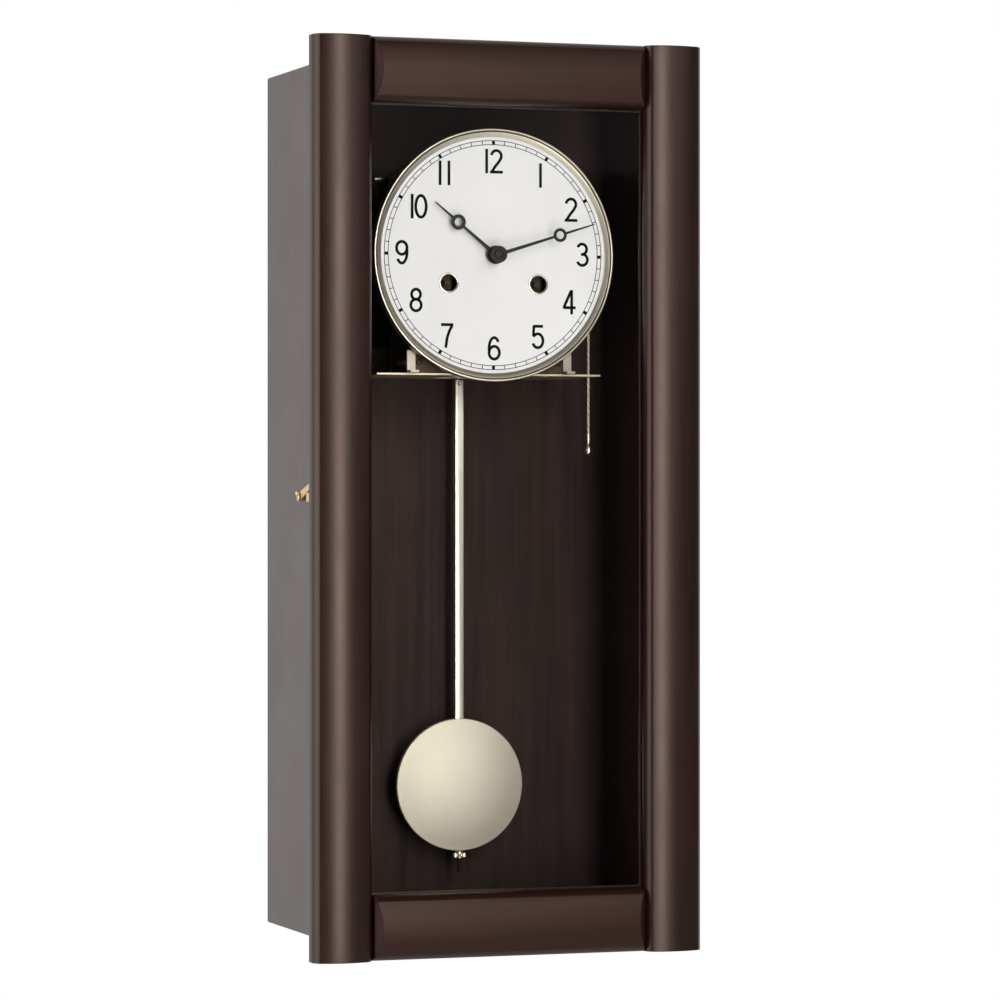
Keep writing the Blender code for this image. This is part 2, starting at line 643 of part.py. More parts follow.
def seat():
    """The metal shelf screwed to the backboard; the pendulum swings in its window."""
    rear = BACKBOARD + GAP
    window = rectangle((-16.0, 16.0), (PENDULUM_DEPTH - 11.3, PENDULUM_DEPTH + 12.7))
    shelf = flat("seat_plate", [rectangle((-SEAT_HALF, SEAT_HALF), (rear, SEAT_FRONT)), window],
                 (SEAT_Z, SEAT_Z + SEAT_THICK), "top", "steel")
    joined(shelf, box("seat_flange", (-SEAT_HALF, SEAT_HALF), (rear, rear + SEAT_THICK),
                      (SEAT_Z + 0.5, SEAT_Z + 20.0)))
    for name, side in (("movement_foot_left", -1), ("movement_foot_right", 1)):
        x = sorted((side * (PLATE_HALF - 4.0), side * (PLATE_HALF + 1.6)))
        face = FRONT_PLATE + GAP
        upright = box(name, x, (face, face + FOOT_THICK), (PLATE_FOOT, PLATE_FOOT + FOOT_HEIGHT), "steel")
        joined(upright, box(name + "_toe", x, (face, face + FOOT_REACH), (PLATE_FOOT, PLATE_FOOT + FOOT_THICK)))


def dial_and_bezel():
    holes = [circle(5.0, CENTRE, 20), circle(WINDING_HOLE, GOING, 24), circle(WINDING_HOLE, STRIKING, 24)]
    back = DIAL_FRONT - DIAL_THICK
    dial = flat("dial", [circle(DIAL_RADIUS, CENTRE, 72)] + holes, (back, DIAL_FRONT), finish="white")
    for x, z in ((-40.0, DIAL_Z + 38.0), (40.0, DIAL_Z + 38.0), (0.0, DIAL_Z - 62.0)):
        joined(dial, rod("dial_foot", 1.4, (FRONT_PLATE + GAP, back + 0.4), (x, z), steps=10))
    wall, lip = BEZEL_RADIUS - BEZEL_WALL, BEZEL_RADIUS - BEZEL_BAND
    turned("bezel",
           [(BEZEL_RADIUS - 1.4, BEZEL_RIM), (BEZEL_RADIUS - 0.6, BEZEL_RIM - 0.3),
            (BEZEL_RADIUS, BEZEL_RIM - 1.2), (BEZEL_RADIUS, BEZEL_BACK), (wall, BEZEL_BACK),
            (wall, DIAL_FRONT + GAP), (lip, DIAL_FRONT + GAP), (lip, DIAL_FRONT + 0.8),
            (BEZEL_RADIUS - 2.8, BEZEL_RIM - 0.8), (BEZEL_RADIUS - 2.2, BEZEL_RIM - 0.2)],
           CENTRE, finish="brass", steps=48, closed=True)
    for name, place in (("grommet_left", STRIKING), ("grommet_right", GOING)):
        flange = DIAL_FRONT + GAP
        turned(name, [(WINDING_HOLE + 0.1, flange + 0.7), (WINDING_HOLE + 0.35, flange + 0.4),
                      (WINDING_HOLE + 0.35, flange), (WINDING_HOLE - 0.3, flange), (WINDING_HOLE - 0.3, back - 1.0),
                      (WINDING_HOLE - 0.9, back - 1.0), (WINDING_HOLE - 0.9, flange + 0.5)],
               place, finish="brass", steps=24, closed=True)


def hand(name, centre, length, ring_at, ring_radius, hole, boss, bore, depth, angle, root_width):
    """A tapering hand with an open ring, turned clockwise from twelve about its centre."""
    span = (depth - HAND_THICK / 2, depth + HAND_THICK / 2)
    turn = radians(angle)

    def placed(points):
        return [(centre[0] + u * cos(turn) + v * sin(turn), centre[1] - u * sin(turn) + v * cos(turn))
                for u, v in points]

    neck = ring_at - ring_radius + 0.6
    lower = [(-root_width / 2, boss - 1.0), (root_width / 2, boss - 1.0), (0.75, neck), (-0.75, neck)]
    stem = ring_at + ring_radius - 0.6
    upper = [(-0.75, stem), (0.75, stem), (0.4, length), (-0.4, length)]
    made = flat(name, [circle(boss, centre, 24), circle(bore, centre, 16)], span, finish="blackened")
    rim = flat(name + "_ring", [placed(circle(ring_radius, (0.0, ring_at), 24)),
                                placed(circle(hole, (0.0, ring_at), 20))], span)
    thin = (span[0] + 0.1, span[1] - 0.1)
    return joined(made, flat(name + "_root", [placed(lower)], thin), rim,
                  flat(name + "_point", [placed(upper)], thin))


def wheel(name, outline, span, finish, *others):
    return joined(flat(name, [outline], span, finish=finish), *others)


def arbor(name, place, span, shaft=ARBOR, end=PIVOT):
    """A round shaft with a thinner pivot in each plate."""
    low, high = span
    step = GAP + PLATE_THICK
    profile = [(0.0, high), (end, high), (end, high - step), (shaft, high - step),
               (shaft, low + step), (end, low + step), (end, low), (0.0, low)]
    return turned(name, profile, place, steps=12)


def going_train():
    plates_span = (BACK_PLATE + 0.2, FRONT_PLATE - 0.2)
    barrel_radius, centre_pinion = shares(GOING, CENTRE, BARREL_TEETH, BARREL_PINION)
    centre_radius, third_pinion = shares(CENTRE, THIRD, CENTRE_TEETH, THIRD_PINION)
    third_radius, escape_pinion = shares(THIRD, ESCAPE, THIRD_TEETH, ESCAPE_PINION)
    barrel("going_barrel", "going_arbor", GOING, CENTRE, barrel_radius, GOING_TEETH, GOING_DRUM)

    thin, tip, shoulder, step = 1.0, MINUTE_DEPTH + 2.8, FRONT_PLATE + 1.5, BACK_PLATE_FRONT + 0.5
    centre = wheel("centre_wheel", gear(CENTRE_TEETH, centre_radius, CENTRE, THIRD), CENTRE_WHEEL, "brass",
                   turned("centre_shaft", [(0.0, tip), (thin, tip), (thin, shoulder), (ARBOR, shoulder),
                                           (ARBOR, step), (PIVOT, step), (PIVOT, plates_span[0]),
                                           (0.0, plates_span[0])], CENTRE, steps=12),
                   flat("centre_leaves", [gear(BARREL_PINION, centre_pinion, CENTRE, GOING, False)], CENTRE_LEAVES))
    third = wheel("third_wheel", gear(THIRD_TEETH, third_radius, THIRD, ESCAPE), THIRD_WHEEL, "brass",
                  arbor("third_shaft", THIRD, plates_span),
                  flat("third_leaves", [gear(THIRD_PINION, third_pinion, THIRD, CENTRE, False)], THIRD_LEAVES))
    saw = []
    for i in range(ESCAPE_TEETH):
        start = 2 * pi * i / ESCAPE_TEETH
        for radius, ahead in ((ESCAPE_RADIUS - 1.5, 0.0), (ESCAPE_RADIUS, 0.05), (ESCAPE_RADIUS - 1.5, 0.12)):
            saw.append((ESCAPE[0] + radius * cos(start + ahead), ESCAPE[1] + radius * sin(start + ahead)))
    escape = wheel("escape_wheel", saw, ESCAPE_WHEEL, "brass", arbor("escape_shaft", ESCAPE, plates_span, thin),
                   flat("escape_leaves", [gear(ESCAPE_PINION, escape_pinion, ESCAPE, THIRD, False)], ESCAPE_LEAVES))
    pivoted("third_axis", (THIRD[0], THIRD_WHEEL[0], THIRD[1]), third)
    pivoted("escape_axis", (ESCAPE[0], ESCAPE_WHEEL[0], ESCAPE[1]), escape)
    return centre


def barrel(name, arbor_name, place, mate, radius, teeth_span, drum_span):
    """A spring barrel with its great wheel, free on the winding arbor whose square faces a dial hole."""
    shaft = WINDING_ARBOR
    drum = joined(ring(name, shaft + RUN, radius - 4.4, drum_span, place, finish="brass", steps=32),
                  flat(name + "_teeth", [gear(BARREL_TEETH, radius, place, mate), circle(shaft + RUN, place, 32)],
                       teeth_span))
    pivoted(name + "_axis", (place[0], drum_span[0], place[1]), drum)
    nose = FRONT_PLATE + 1.0
    winder = turned(arbor_name, [(0.0, nose), (shaft, nose), (shaft, BACK_PLATE_FRONT + GAP),
                                 (WINDING_PIVOT, BACK_PLATE_FRONT + GAP), (WINDING_PIVOT, BACK_PLATE + 0.2),
                                 (0.0, BACK_PLATE + 0.2)], place, finish="steel", steps=24)
    half = WINDING_SQUARE / 2
    square = box(arbor_name + "_square", (place[0] - half, place[0] + half), (nose - 1.0, nose + 4.5),
                 (place[1] - half, place[1] + half))
    joined(winder, square)
    pivoted(arbor_name + "_axis", (place[0], nose, place[1]), winder)


def motion_work(centre):
    """The wheels under the dial that turn the hour hand once for twelve turns of the minute hand."""
    cannon_radius, minute_radius = shares(CENTRE, MINUTE, CANNON_LEAVES, MINUTE_TEETH)
    leaves_radius, hour_radius = shares(MINUTE, CENTRE, MINUTE_LEAVES, HOUR_TEETH)
    cannon = flat("cannon_pinion",
                  [gear(CANNON_LEAVES, cannon_radius, CENTRE, MINUTE), circle(CANNON_BORE, CENTRE, 12)],
                  CANNON_PINION, finish="steel")
    tube = (CANNON_PINION[1] - GAP, MINUTE_DEPTH + 0.15)
    joined(cannon, ring("cannon_tube", CANNON_BORE, CANNON_RADIUS, tube, CENTRE, steps=24))
    minute = wheel("minute_wheel", gear(MINUTE_TEETH, minute_radius, MINUTE, CENTRE, False), MINUTE_WHEEL, "brass",
                   flat("minute_leaves", [gear(MINUTE_LEAVES, leaves_radius, MINUTE, CENTRE)], MINUTE_PINION))
    cut(minute, rod("minute_bore", ARBOR + RUN, layer(FRONT_PLATE, 0.5, 7.0), MINUTE))
    bore = CANNON_RADIUS + RUN
    pipe = bore + PIPE_WALL
    hour = joined(flat("hour_wheel", [gear(HOUR_TEETH, hour_radius, CENTRE, MINUTE, False), circle(bore, CENTRE, 24)],
                       HOUR_WHEEL, finish="brass"),
                  ring("hour_pipe", bore, pipe, (HOUR_WHEEL[1] - 0.5, HOUR_DEPTH + 0.8), CENTRE, steps=24))
    minute_hand = hand("minute_hand", CENTRE, MINUTE_HAND, MINUTE_RING, ring_radius=4.5, hole=2.6, boss=5.5,
                       bore=CANNON_RADIUS + GAP, depth=MINUTE_DEPTH, angle=MINUTE_ANGLE, root_width=2.4)
    hour_hand = hand("hour_hand", CENTRE, HOUR_HAND, HOUR_RING, ring_radius=5.0, hole=2.65, boss=6.0,
                     bore=pipe + GAP, depth=HOUR_DEPTH, angle=HOUR_ANGLE, root_width=2.6)
    back, shoulder, face = MINUTE_DEPTH + 0.9, MINUTE_DEPTH + 1.9, MINUTE_DEPTH + 2.6
    nut = turned("hand_nut", [(CANNON_BORE, face), (2.2, face), (3.2, shoulder), (3.2, back), (CANNON_BORE, back)],
                 CENTRE, finish="blackened", steps=24, closed=True)
    pivoted("minute_axis", (0.0, FRONT_PLATE, DIAL_Z), centre, cannon, minute_hand, nut)
    pivoted("hour_axis", (0.0, HOUR_WHEEL[0], DIAL_Z), hour, hour_hand)
    pivoted("minute_wheel_axis", (MINUTE[0], MINUTE_WHEEL[0], MINUTE[1]), minute)


def strike_train():
    plates_span = (BACK_PLATE + 0.2, FRONT_PLATE - 0.2)
    radius, pinion = shares(STRIKING, HAMMER_ARBOR, BARREL_TEETH, BARREL_PINION)
    hammer_radius, fly_pinion = shares(HAMMER_ARBOR, FLY, HAMMER_TEETH, FLY_PINION)
    barrel("strike_barrel", "strike_arbor", STRIKING, HAMMER_ARBOR, radius, STRIKE_TEETH, STRIKE_DRUM)
    pins = []
    for i in range(LIFTING_PINS):
        angle = (i + 0.5) * 2 * pi / LIFTING_PINS
        place = (HAMMER_ARBOR[0] + PIN_CIRCLE * cos(angle), HAMMER_ARBOR[1] + PIN_CIRCLE * sin(angle))
        pins.append(rod("lifting_pin", LIFTING_PIN, PINS, place, steps=8))
    pin_wheel = wheel("hammer_wheel", gear(HAMMER_TEETH, hammer_radius, HAMMER_ARBOR, FLY), PIN_WHEEL, "brass",
                      arbor("hammer_wheel_shaft", HAMMER_ARBOR, plates_span),
                      flat("hammer_wheel_leaves", [gear(BARREL_PINION, pinion, HAMMER_ARBOR, STRIKING, False)],
                           PIN_WHEEL_LEAVES), *pins)
    reach, half = 9.0, 0.4
    vane = box("fly", (FLY[0] - reach, FLY[0] + reach), FLY_VANE, (FLY[1] - half, FLY[1] + half), "brass")
    joined(vane, arbor("fly_shaft", FLY, plates_span, 1.0),
           flat("fly_leaves", [gear(FLY_PINION, fly_pinion, FLY, HAMMER_ARBOR, False)], FLY_LEAVES))
    pivoted("hammer_wheel_axis", (HAMMER_ARBOR[0], PIN_WHEEL[0], HAMMER_ARBOR[1]), pin_wheel)
    pivoted("fly_axis", (FLY[0], FLY_VANE[0], FLY[1]), vane)


def bell_and_hammer():
    """An upright bell on a bracket behind the movement, and the hammer that meets its side."""
    place = (BELL_X, BELL_DEPTH)
    lip, under = BELL_TOP - BELL_HEIGHT, BELL_TOP - BELL_WALL
    curve = [(BELL_RADIUS * 0.5, 0.01), (BELL_RADIUS - 5.5, 0.07), (BELL_RADIUS - 2.2, 0.2),
             (BELL_RADIUS - 0.7, 0.45), (BELL_RADIUS, 1.0)]
    outside = [(radius, BELL_TOP - share * BELL_HEIGHT) for radius, share in curve]
    inside = [(radius - BELL_WALL, max(height - BELL_WALL * 0.9, lip)) for radius, height in reversed(outside)]
    turned("bell", [(BELL_BORE, BELL_TOP), *outside, *inside, (BELL_BORE, under)], place, "up", "brass",
           steps=32, closed=True)
    stem, collar, column, bracket = BELL_BORE - GAP, 4.0, 3.0, lip - 2.5
    post = turned("bell_post", [(0.0, BELL_TOP + 2.5), (collar, BELL_TOP + 2.5), (collar, BELL_TOP + GAP),
                                (stem, BELL_TOP + GAP), (stem, under - GAP), (column, under - GAP),
                                (column, bracket - 3.0), (0.0, bracket - 3.0)], place, "up", "steel", steps=16)
    joined(post, box("bell_bracket", (BELL_X - collar, BELL_X + collar), (BELL_DEPTH, BACK_PLATE - GAP),
                     (bracket - 2.5, bracket)))
    x, z = HAMMER_PIVOT
    head_x, head_z = HAMMER_HEAD
    shaft = turned("hammer", [(0.0, FRONT_PLATE - 0.2), (PIVOT, FRONT_PLATE - 0.2), (PIVOT, FRONT_PLATE_BACK - GAP),
                              (ARBOR, FRONT_PLATE_BACK - GAP), (ARBOR, SHAFT_END), (0.0, SHAFT_END)],
                   HAMMER_PIVOT, finish="steel", steps=12)
    apart = distance(HAMMER_PIVOT, HAMMER_ARBOR)
    reach = apart - PIN_CIRCLE - LIFTING_PIN - 1.0
    arm = SHAFT_END + 1.2
    along = ((HAMMER_ARBOR[0] - x) / apart, (HAMMER_ARBOR[1] - z) / apart)
    across = (-along[1], along[0])
    tail = [(x + along[0] * a + across[0] * b, z + along[1] * a + across[1] * b)
            for a, b in ((0.0, -1.5), (reach, -0.7), (reach, 0.7), (0.0, 1.5))]
    bend = (head_x, HAMMER_DEPTH + 0.3, head_z - 2.0)
    joined(shaft, flat("hammer_tail", [tail], HAMMER_TAIL),
           wire("hammer_arm", [(x, arm, z - 0.4), (head_x, arm, z + 22.0), bend, (head_x, HAMMER_DEPTH, head_z)],
                HAMMER_WIRE),
           rod("hammer_head", HEAD_RADIUS, (head_x - HEAD_LENGTH / 2, head_x + HEAD_LENGTH / 2),
               (HAMMER_DEPTH, head_z), "right"))
    pivoted("hammer_axis", (x, HAMMER_TAIL[0], z), shaft)


def pull():
    x, z = LEVER
    shape = [(x - 10.0, z + 1.0), (x - 9.5, z + 4.0), (x - 4.0, z + 3.5), (x + 4.0, z + 3.0),
             (PULL_X + 3.0, PULL_TOP + 4.6), (PULL_X + 3.4, PULL_TOP + 1.0), (PULL_X - 3.0, PULL_TOP + GAP),
             (x + 4.0, z - 3.0), (x - 3.0, z - 2.5)]
    lever = flat("repeat_lever", [shape], (LEVER_DEPTH - 0.8, LEVER_DEPTH + 0.8), finish="steel")
    joined(lever, rod("lever_stud", ARBOR, (BACK_PLATE + 0.2, LEVER_DEPTH + 2.0), LEVER, steps=12))
    pivoted("lever_axis", (x, LEVER_DEPTH, z), lever)
    steps = 14
    top, foot = PULL_TOP, BEAD_TOP + GAP
    route = [(PULL_X, LEVER_DEPTH, top - (top - foot) * i / steps) for i in range(steps + 1)]
    cord = wire("pull_cord", route, CORD_RADIUS, "cord")
    drop = [(0.0, 0.0), (BEAD_SLEEVE, 0.0), (BEAD_SLEEVE, 6.5), (1.1, 6.9), (0.62 * BEAD_RADIUS, 8.1),
            (0.92 * BEAD_RADIUS, 10.2), (BEAD_RADIUS, 12.0), (0.85 * BEAD_RADIUS, 13.5), (0.42 * BEAD_RADIUS, 14.5),
            (0.0, 14.6)]
    bead = turned("pull_bead", [(radius, BEAD_TOP - down) for radius, down in drop], (PULL_X, LEVER_DEPTH), "up",
                  "brass", steps=16)
    pivoted("pull_axis", (PULL_X, LEVER_DEPTH, PULL_TOP), cord, bead)


# ---- pendulum ----

def pendulum():
    depth, top = PENDULUM_DEPTH, SUSPENSION_Z
    cock = box("suspension_cock", (-6.5, 6.5), (BACK_PLATE - GAP - 2.0, BACK_PLATE - GAP), (top - 8.0, top + 11.0),
               "brass")
    joined(cock, box("cock_arm", (-4.0, 4.0), (depth - 1.8, BACK_PLATE - 1.0), (top + 2.2, top + 7.0)),
           box("cock_jaw", (-3.8, 3.8), (depth - 1.6, depth + 1.8), (top + GAP, top + 3.0)))
    cut(cock, rod("cock_bore", ARBOR + RUN, (SHAFT_END, BACK_PLATE_FRONT), (0.0, top)))
    anchor(top)
    spring = box("suspension_spring", (-2.5, 2.5), (depth - 0.25, depth + 0.25), (top - 12.0, top), "steel")
    joined(spring, box("spring_block", (-3.6, 3.6), (depth - 1.8, depth + 1.8), (top - BLOCK_DROP, top - 10.0)))
    slot_z = ROD_TOP - 2.2
    behind = depth - ROD_THICK / 2 - 0.7 - LEADER_RADIUS
    leader = wire("pendulum_leader",
                  [(0.0, depth, top - BLOCK_DROP - GAP), (0.0, depth, ROD_TOP + 13.0), (0.0, behind, ROD_TOP + 6.0),
                   (0.0, behind, slot_z), (0.0, depth + ROD_THICK / 2 + 1.4, slot_z)], LEADER_RADIUS, "steel")
    half, thick = ROD_WIDTH / 2, ROD_THICK / 2
    stick = box("pendulum_rod", (-half, half), (depth - thick, depth + thick), (BOB_FOOT + 4.0, ROD_TOP), "brass")
    joined(stick, rod("rod_thread", THREAD_RADIUS, (BOB_FOOT - THREAD_LENGTH, BOB_FOOT + 5.0), (0.0, depth), "up"))
    cut(stick, box("rod_slot", (-LEADER_RADIUS - GAP, LEADER_RADIUS + GAP), (depth - 5.0, depth + 5.0),
                   (slot_z - LEADER_RADIUS - GAP, slot_z + LEADER_RADIUS + GAP)))
    nut_top = BOB_FOOT - GAP
    nut = turned("rating_nut",
                 [(THREAD_RADIUS + RUN, nut_top), (2.9, nut_top), (2.9, nut_top - 1.2), (NUT_RADIUS, nut_top - 1.2),
                  (NUT_RADIUS, nut_top - NUT_HEIGHT + 1.0), (2.6, nut_top - NUT_HEIGHT + 1.0),
                  (2.6, nut_top - NUT_HEIGHT), (THREAD_RADIUS + RUN, nut_top - NUT_HEIGHT)],
                 (0.0, depth), "up", "brass", steps=20, closed=True)
    pivoted("pendulum_axis", (0.0, depth, top), spring, leader, stick, bob(depth))
    pivoted("nut_axis", (0.0, depth, nut_top), nut)


def bob(depth):
    """A lens with a flat rim, open behind to a channel that the rod slides in."""
    rim, rings = BOB_RIM / 2, 8
    front, back = BOB_THICK / 2 + BOB_FULLER - rim, BOB_THICK / 2 - BOB_FULLER - rim
    fall = [(BOB_RADIUS * i / rings, 1 - (i / rings) ** 2) for i in range(rings + 1)]
    face = [(radius, depth + rim + front * share) for radius, share in fall]
    rear = [(radius, depth - rim - back * share) for radius, share in reversed(fall)]
    lens = turned("pendulum_bob", face + rear, (0.0, BOB_Z), finish="brass", steps=40)
    half = ROD_WIDTH / 2 + GAP
    return cut(lens, box("bob_channel", (-half, half), (depth - BOB_THICK, depth + ROD_THICK / 2 + GAP),
                         (BOB_Z - BOB_RADIUS - 5.0, BOB_Z + BOB_RADIUS + 5.0)))


def anchor(top):
    """The pallets above the escape wheel and the crutch that reaches back to the pendulum's leader."""
    half = [(0.0, 3.2), (3.0, 2.0), (12.4, -4.6), (12.8, -9.6), (11.2, -9.2), (9.7, -5.8), (2.0, -2.4)]
    outline = [(x, top + z) for x, z in half] + [(-x, top + z) for x, z in half[:0:-1]]
    shaft = turned("anchor_shaft", [(0.0, FRONT_PLATE - 0.2), (PIVOT, FRONT_PLATE - 0.2),
                                    (PIVOT, FRONT_PLATE_BACK - GAP), (ARBOR, FRONT_PLATE_BACK - GAP),
                                    (ARBOR, SHAFT_END), (0.0, SHAFT_END)], (0.0, top), steps=12)
    pallets = flat("anchor", [outline], PALLETS, finish="steel")
    crutch_foot = top - CRUTCH_DROP
    fork = box("crutch_fork", (-4.5, 4.5), (PENDULUM_DEPTH - 3.0, CRUTCH[1] + 0.1), (crutch_foot, crutch_foot + 1.5))
    slot = (-LEADER_RADIUS - GAP, LEADER_RADIUS + GAP)
    cut(fork, box("fork_slot", slot, (PENDULUM_DEPTH - 6.0, PENDULUM_DEPTH + 3.5),
                  (crutch_foot - 2.0, crutch_foot + 3.0)))
    joined(pallets, shaft, box("crutch", (-2.0, 2.0), CRUTCH, (crutch_foot + 0.3, top + 0.5)), fork)
    pivoted("anchor_axis", (0.0, PALLETS[0], top), pallets)


case_panels()
door()
latch()
plates()
seat()
dial_and_bezel()
motion_work(going_train())
strike_train()
bell_and_hammer()
pull()
pendulum()
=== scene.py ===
"""Looks of a pendulum wall clock: a dark lacquered case with a glazed moulded door, a round dial in a
champagne metal bezel, black hands, a lens-shaped pendulum bob and a pull cord.

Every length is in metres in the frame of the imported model: +X to the viewer's right, +Z up and the
wall at y = 0, so a point that stands a depth d forward of the wall lies at y = -d.
"""
from math import cos, hypot, pi, radians, sin, sqrt

import bmesh
import bpy
from mathutils import Matrix, Vector


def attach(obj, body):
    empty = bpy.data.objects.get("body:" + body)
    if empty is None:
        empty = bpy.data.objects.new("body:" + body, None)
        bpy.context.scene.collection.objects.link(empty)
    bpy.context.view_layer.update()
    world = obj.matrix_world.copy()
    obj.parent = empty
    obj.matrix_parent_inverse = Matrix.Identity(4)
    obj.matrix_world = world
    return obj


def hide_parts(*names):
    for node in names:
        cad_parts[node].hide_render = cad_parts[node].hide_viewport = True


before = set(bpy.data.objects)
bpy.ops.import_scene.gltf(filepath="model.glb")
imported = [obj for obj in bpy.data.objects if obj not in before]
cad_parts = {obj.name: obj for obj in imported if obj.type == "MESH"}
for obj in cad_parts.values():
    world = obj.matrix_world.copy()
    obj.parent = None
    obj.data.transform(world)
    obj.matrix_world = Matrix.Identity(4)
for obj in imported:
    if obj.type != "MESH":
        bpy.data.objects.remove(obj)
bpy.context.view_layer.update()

MM = 0.001
WELD = 1e-6     # points nearer than this, in metres, are one point
FORWARD = Vector((0.0, -1.0, 0.0))
UP = Vector((0.0, 0.0, 1.0))
RIGHT = Vector((1.0, 0.0, 0.0))


# ---- modelling by hand

def at(x, depth, z):
    """A point given in millimetres, with its depth forward of the wall."""
    return Vector((x, -depth, z)) * MM


def select_none():
    if bpy.context.mode != "OBJECT":
        bpy.ops.object.mode_set(mode="OBJECT")
    bpy.ops.object.select_all(action="DESELECT")


def select_only(obj):
    select_none()
    obj.select_set(True)
    bpy.context.view_layer.objects.active = obj


def select_mesh():
    bpy.ops.mesh.select_all(action="SELECT")


def edit(obj):
    select_only(obj)
    bpy.ops.object.mode_set(mode="EDIT")
    select_mesh()


def close_edit(smooth=35.0):
    """Merges doubles, turns the faces outwards and leaves edit mode with soft shading."""
    select_mesh()
    bpy.ops.mesh.remove_doubles(threshold=WELD)
    bpy.ops.mesh.normals_make_consistent(inside=False)
    bpy.ops.object.mode_set(mode="OBJECT")
    bpy.ops.object.shade_smooth_by_angle(angle=radians(smooth))


def named(obj, name):
    obj.name = obj.data.name = name
    return obj


def first_point(name, place):
    """A new mesh that is one point, from which an outline is drawn by extruding."""
    select_none()
    bpy.ops.mesh.primitive_plane_add(size=0.001, location=(0.0, 0.0, 0.0))
    obj = named(bpy.context.object, name)
    bpy.ops.object.mode_set(mode="EDIT")
    select_mesh()
    bpy.ops.mesh.merge(type="CENTER")
    bpy.ops.transform.translate(value=place)
    return obj


def draw(points):
    """Extrudes the selected point along a line of points."""
    for here, there in zip(points, points[1:]):
        bpy.ops.mesh.extrude_vertices_move(TRANSFORM_OT_translate={"value": there - here})


def new_loop(points):
    """Adds a closed loop of points to the mesh in edit, and leaves it selected."""
    mesh = bmesh.from_edit_mesh(bpy.context.object.data)
    bpy.ops.mesh.select_all(action="DESELECT")
    start = mesh.verts.new(points[0])
    start.select_set(True)
    mesh.select_flush_mode()
    bmesh.update_edit_mesh(bpy.context.object.data)
    draw(list(points) + [points[0]])


def sawn(name, outline, vector, hole=None):
    """Stock of a constant section: an outline, filled or bridged to a hole of as many points, then extruded."""
    obj = first_point(name, outline[0])
    draw(list(outline) + [outline[0]])
    if hole:
        new_loop(hole)
    select_mesh()
    bpy.ops.mesh.remove_doubles(threshold=WELD)
    if hole:
        bpy.ops.mesh.bridge_edge_loops()
    else:
        bpy.ops.mesh.edge_face_add()
    select_mesh()
    bpy.ops.mesh.extrude_region_move(TRANSFORM_OT_translate={"value": vector})
    close_edit()
    return obj


AXES = {"forward": FORWARD, "up": UP, "right": RIGHT}


def on_axis(axis, centre, radius, along):
    """The point of a turned profile; centre is (x, z), (x, depth) or (depth, z) as its axis needs."""
    if axis == "forward":
        return at(centre[0] + radius, along, centre[1])
    if axis == "up":
        return at(centre[0] + radius, centre[1], along)
    return at(along, centre[0], centre[1] + radius)


def lathe(name, profile, centre, axis="forward", steps=64, closed=False, smooth=35.0):
    """A profile of (radius, distance along the axis), drawn and then spun once round the axis."""
    points = [on_axis(axis, centre, radius, along) for radius, along in profile]
    obj = first_point(name, points[0])
    draw(points + points[:1] if closed else points)
    select_mesh()
    bpy.ops.mesh.spin(steps=steps, angle=2 * pi, center=on_axis(axis, centre, 0.0, 0.0), axis=AXES[axis])
    close_edit(smooth)
    return obj


def finish_modifier(obj, name, kind, **values):
    select_only(obj)
    modifier = obj.modifiers.new(name, kind)
    for key, value in values.items():
        setattr(modifier, key, value)
    bpy.ops.object.modifier_apply(modifier=modifier.name)


def eased(obj, width, segments=3, angle=30.0):
    """Rounds the sharp edges over a width in millimetres."""
    finish_modifier(obj, "eased_edges", "BEVEL", width=width * MM, segments=segments,
                    limit_method="ANGLE", angle_limit=radians(angle), harden_normals=False)
    bpy.ops.object.shade_smooth_by_angle(angle=radians(40.0))
    return obj


def block(name, x, depth, z, ease=0.0, segments=2):
    """A block between two values of x, of depth and of height, with eased edges."""
    select_none()
    size = at(x[1] - x[0], depth[0] - depth[1], z[1] - z[0])
    bpy.ops.mesh.primitive_cube_add(size=1.0, location=at(sum(x), sum(depth), sum(z)) / 2, scale=size)
    obj = named(bpy.context.object, name)
    bpy.ops.object.transform_apply(location=True, rotation=True, scale=True)
    if ease:
        eased(obj, ease, segments)
    return obj


def combined(obj, operation, others):
    """Joins or cuts a piece with others, which are used up."""
    for other in others:
        finish_modifier(obj, "fitted", "BOOLEAN", operation=operation, object=other, solver="EXACT")
        bpy.data.objects.remove(other, do_unlink=True)
    bpy.ops.object.shade_smooth_by_angle(angle=radians(40.0))
    return obj


def gathered(name, pieces):
    """Several shells of one part joined into one object."""
    select_only(pieces[0])
    for piece in pieces:
        piece.select_set(True)
    bpy.ops.object.join()
    return named(pieces[0], name)


def copy_of(obj, name, offset):
    """A copy with its own mesh, moved in its mesh so that its object stays at the origin."""
    twin = obj.copy()
    twin.data = obj.data.copy()
    named(twin, name)
    bpy.context.scene.collection.objects.link(twin)
    select_only(twin)
    twin.matrix_world = Matrix.Translation(offset)
    bpy.ops.object.transform_apply(location=True, rotation=True, scale=True)
    return twin


def bent_wire(name, points, radius, resolution):
    """A round wire through a line of points, as a curve; its radius is in millimetres."""
    select_none()
    bpy.ops.curve.primitive_bezier_curve_add(location=(0.0, 0.0, 0.0))
    wire = named(bpy.context.object, name)
    splines = wire.data.splines
    splines.remove(splines[0])
    line = splines.new("POLY")
    line.points.add(len(points) - 1)
    for point, place in zip(line.points, points):
        point.co = (*place, 1.0)
    wire.data.bevel_depth = radius * MM
    wire.data.bevel_resolution = resolution
    wire.data.use_fill_caps = True
    return wire


def arc(centre, radii, start, end, steps):
    """Points (u, v) along an ellipse between two angles in degrees."""
    turn = [radians(start + (end - start) * i / steps) for i in range(steps + 1)]
    return [(centre[0] + radii[0] * cos(a), centre[1] + radii[1] * sin(a)) for a in turn]


def upright(points, depth):
    return [at(x, depth, z) for x, z in points]


# ---- camera and cord

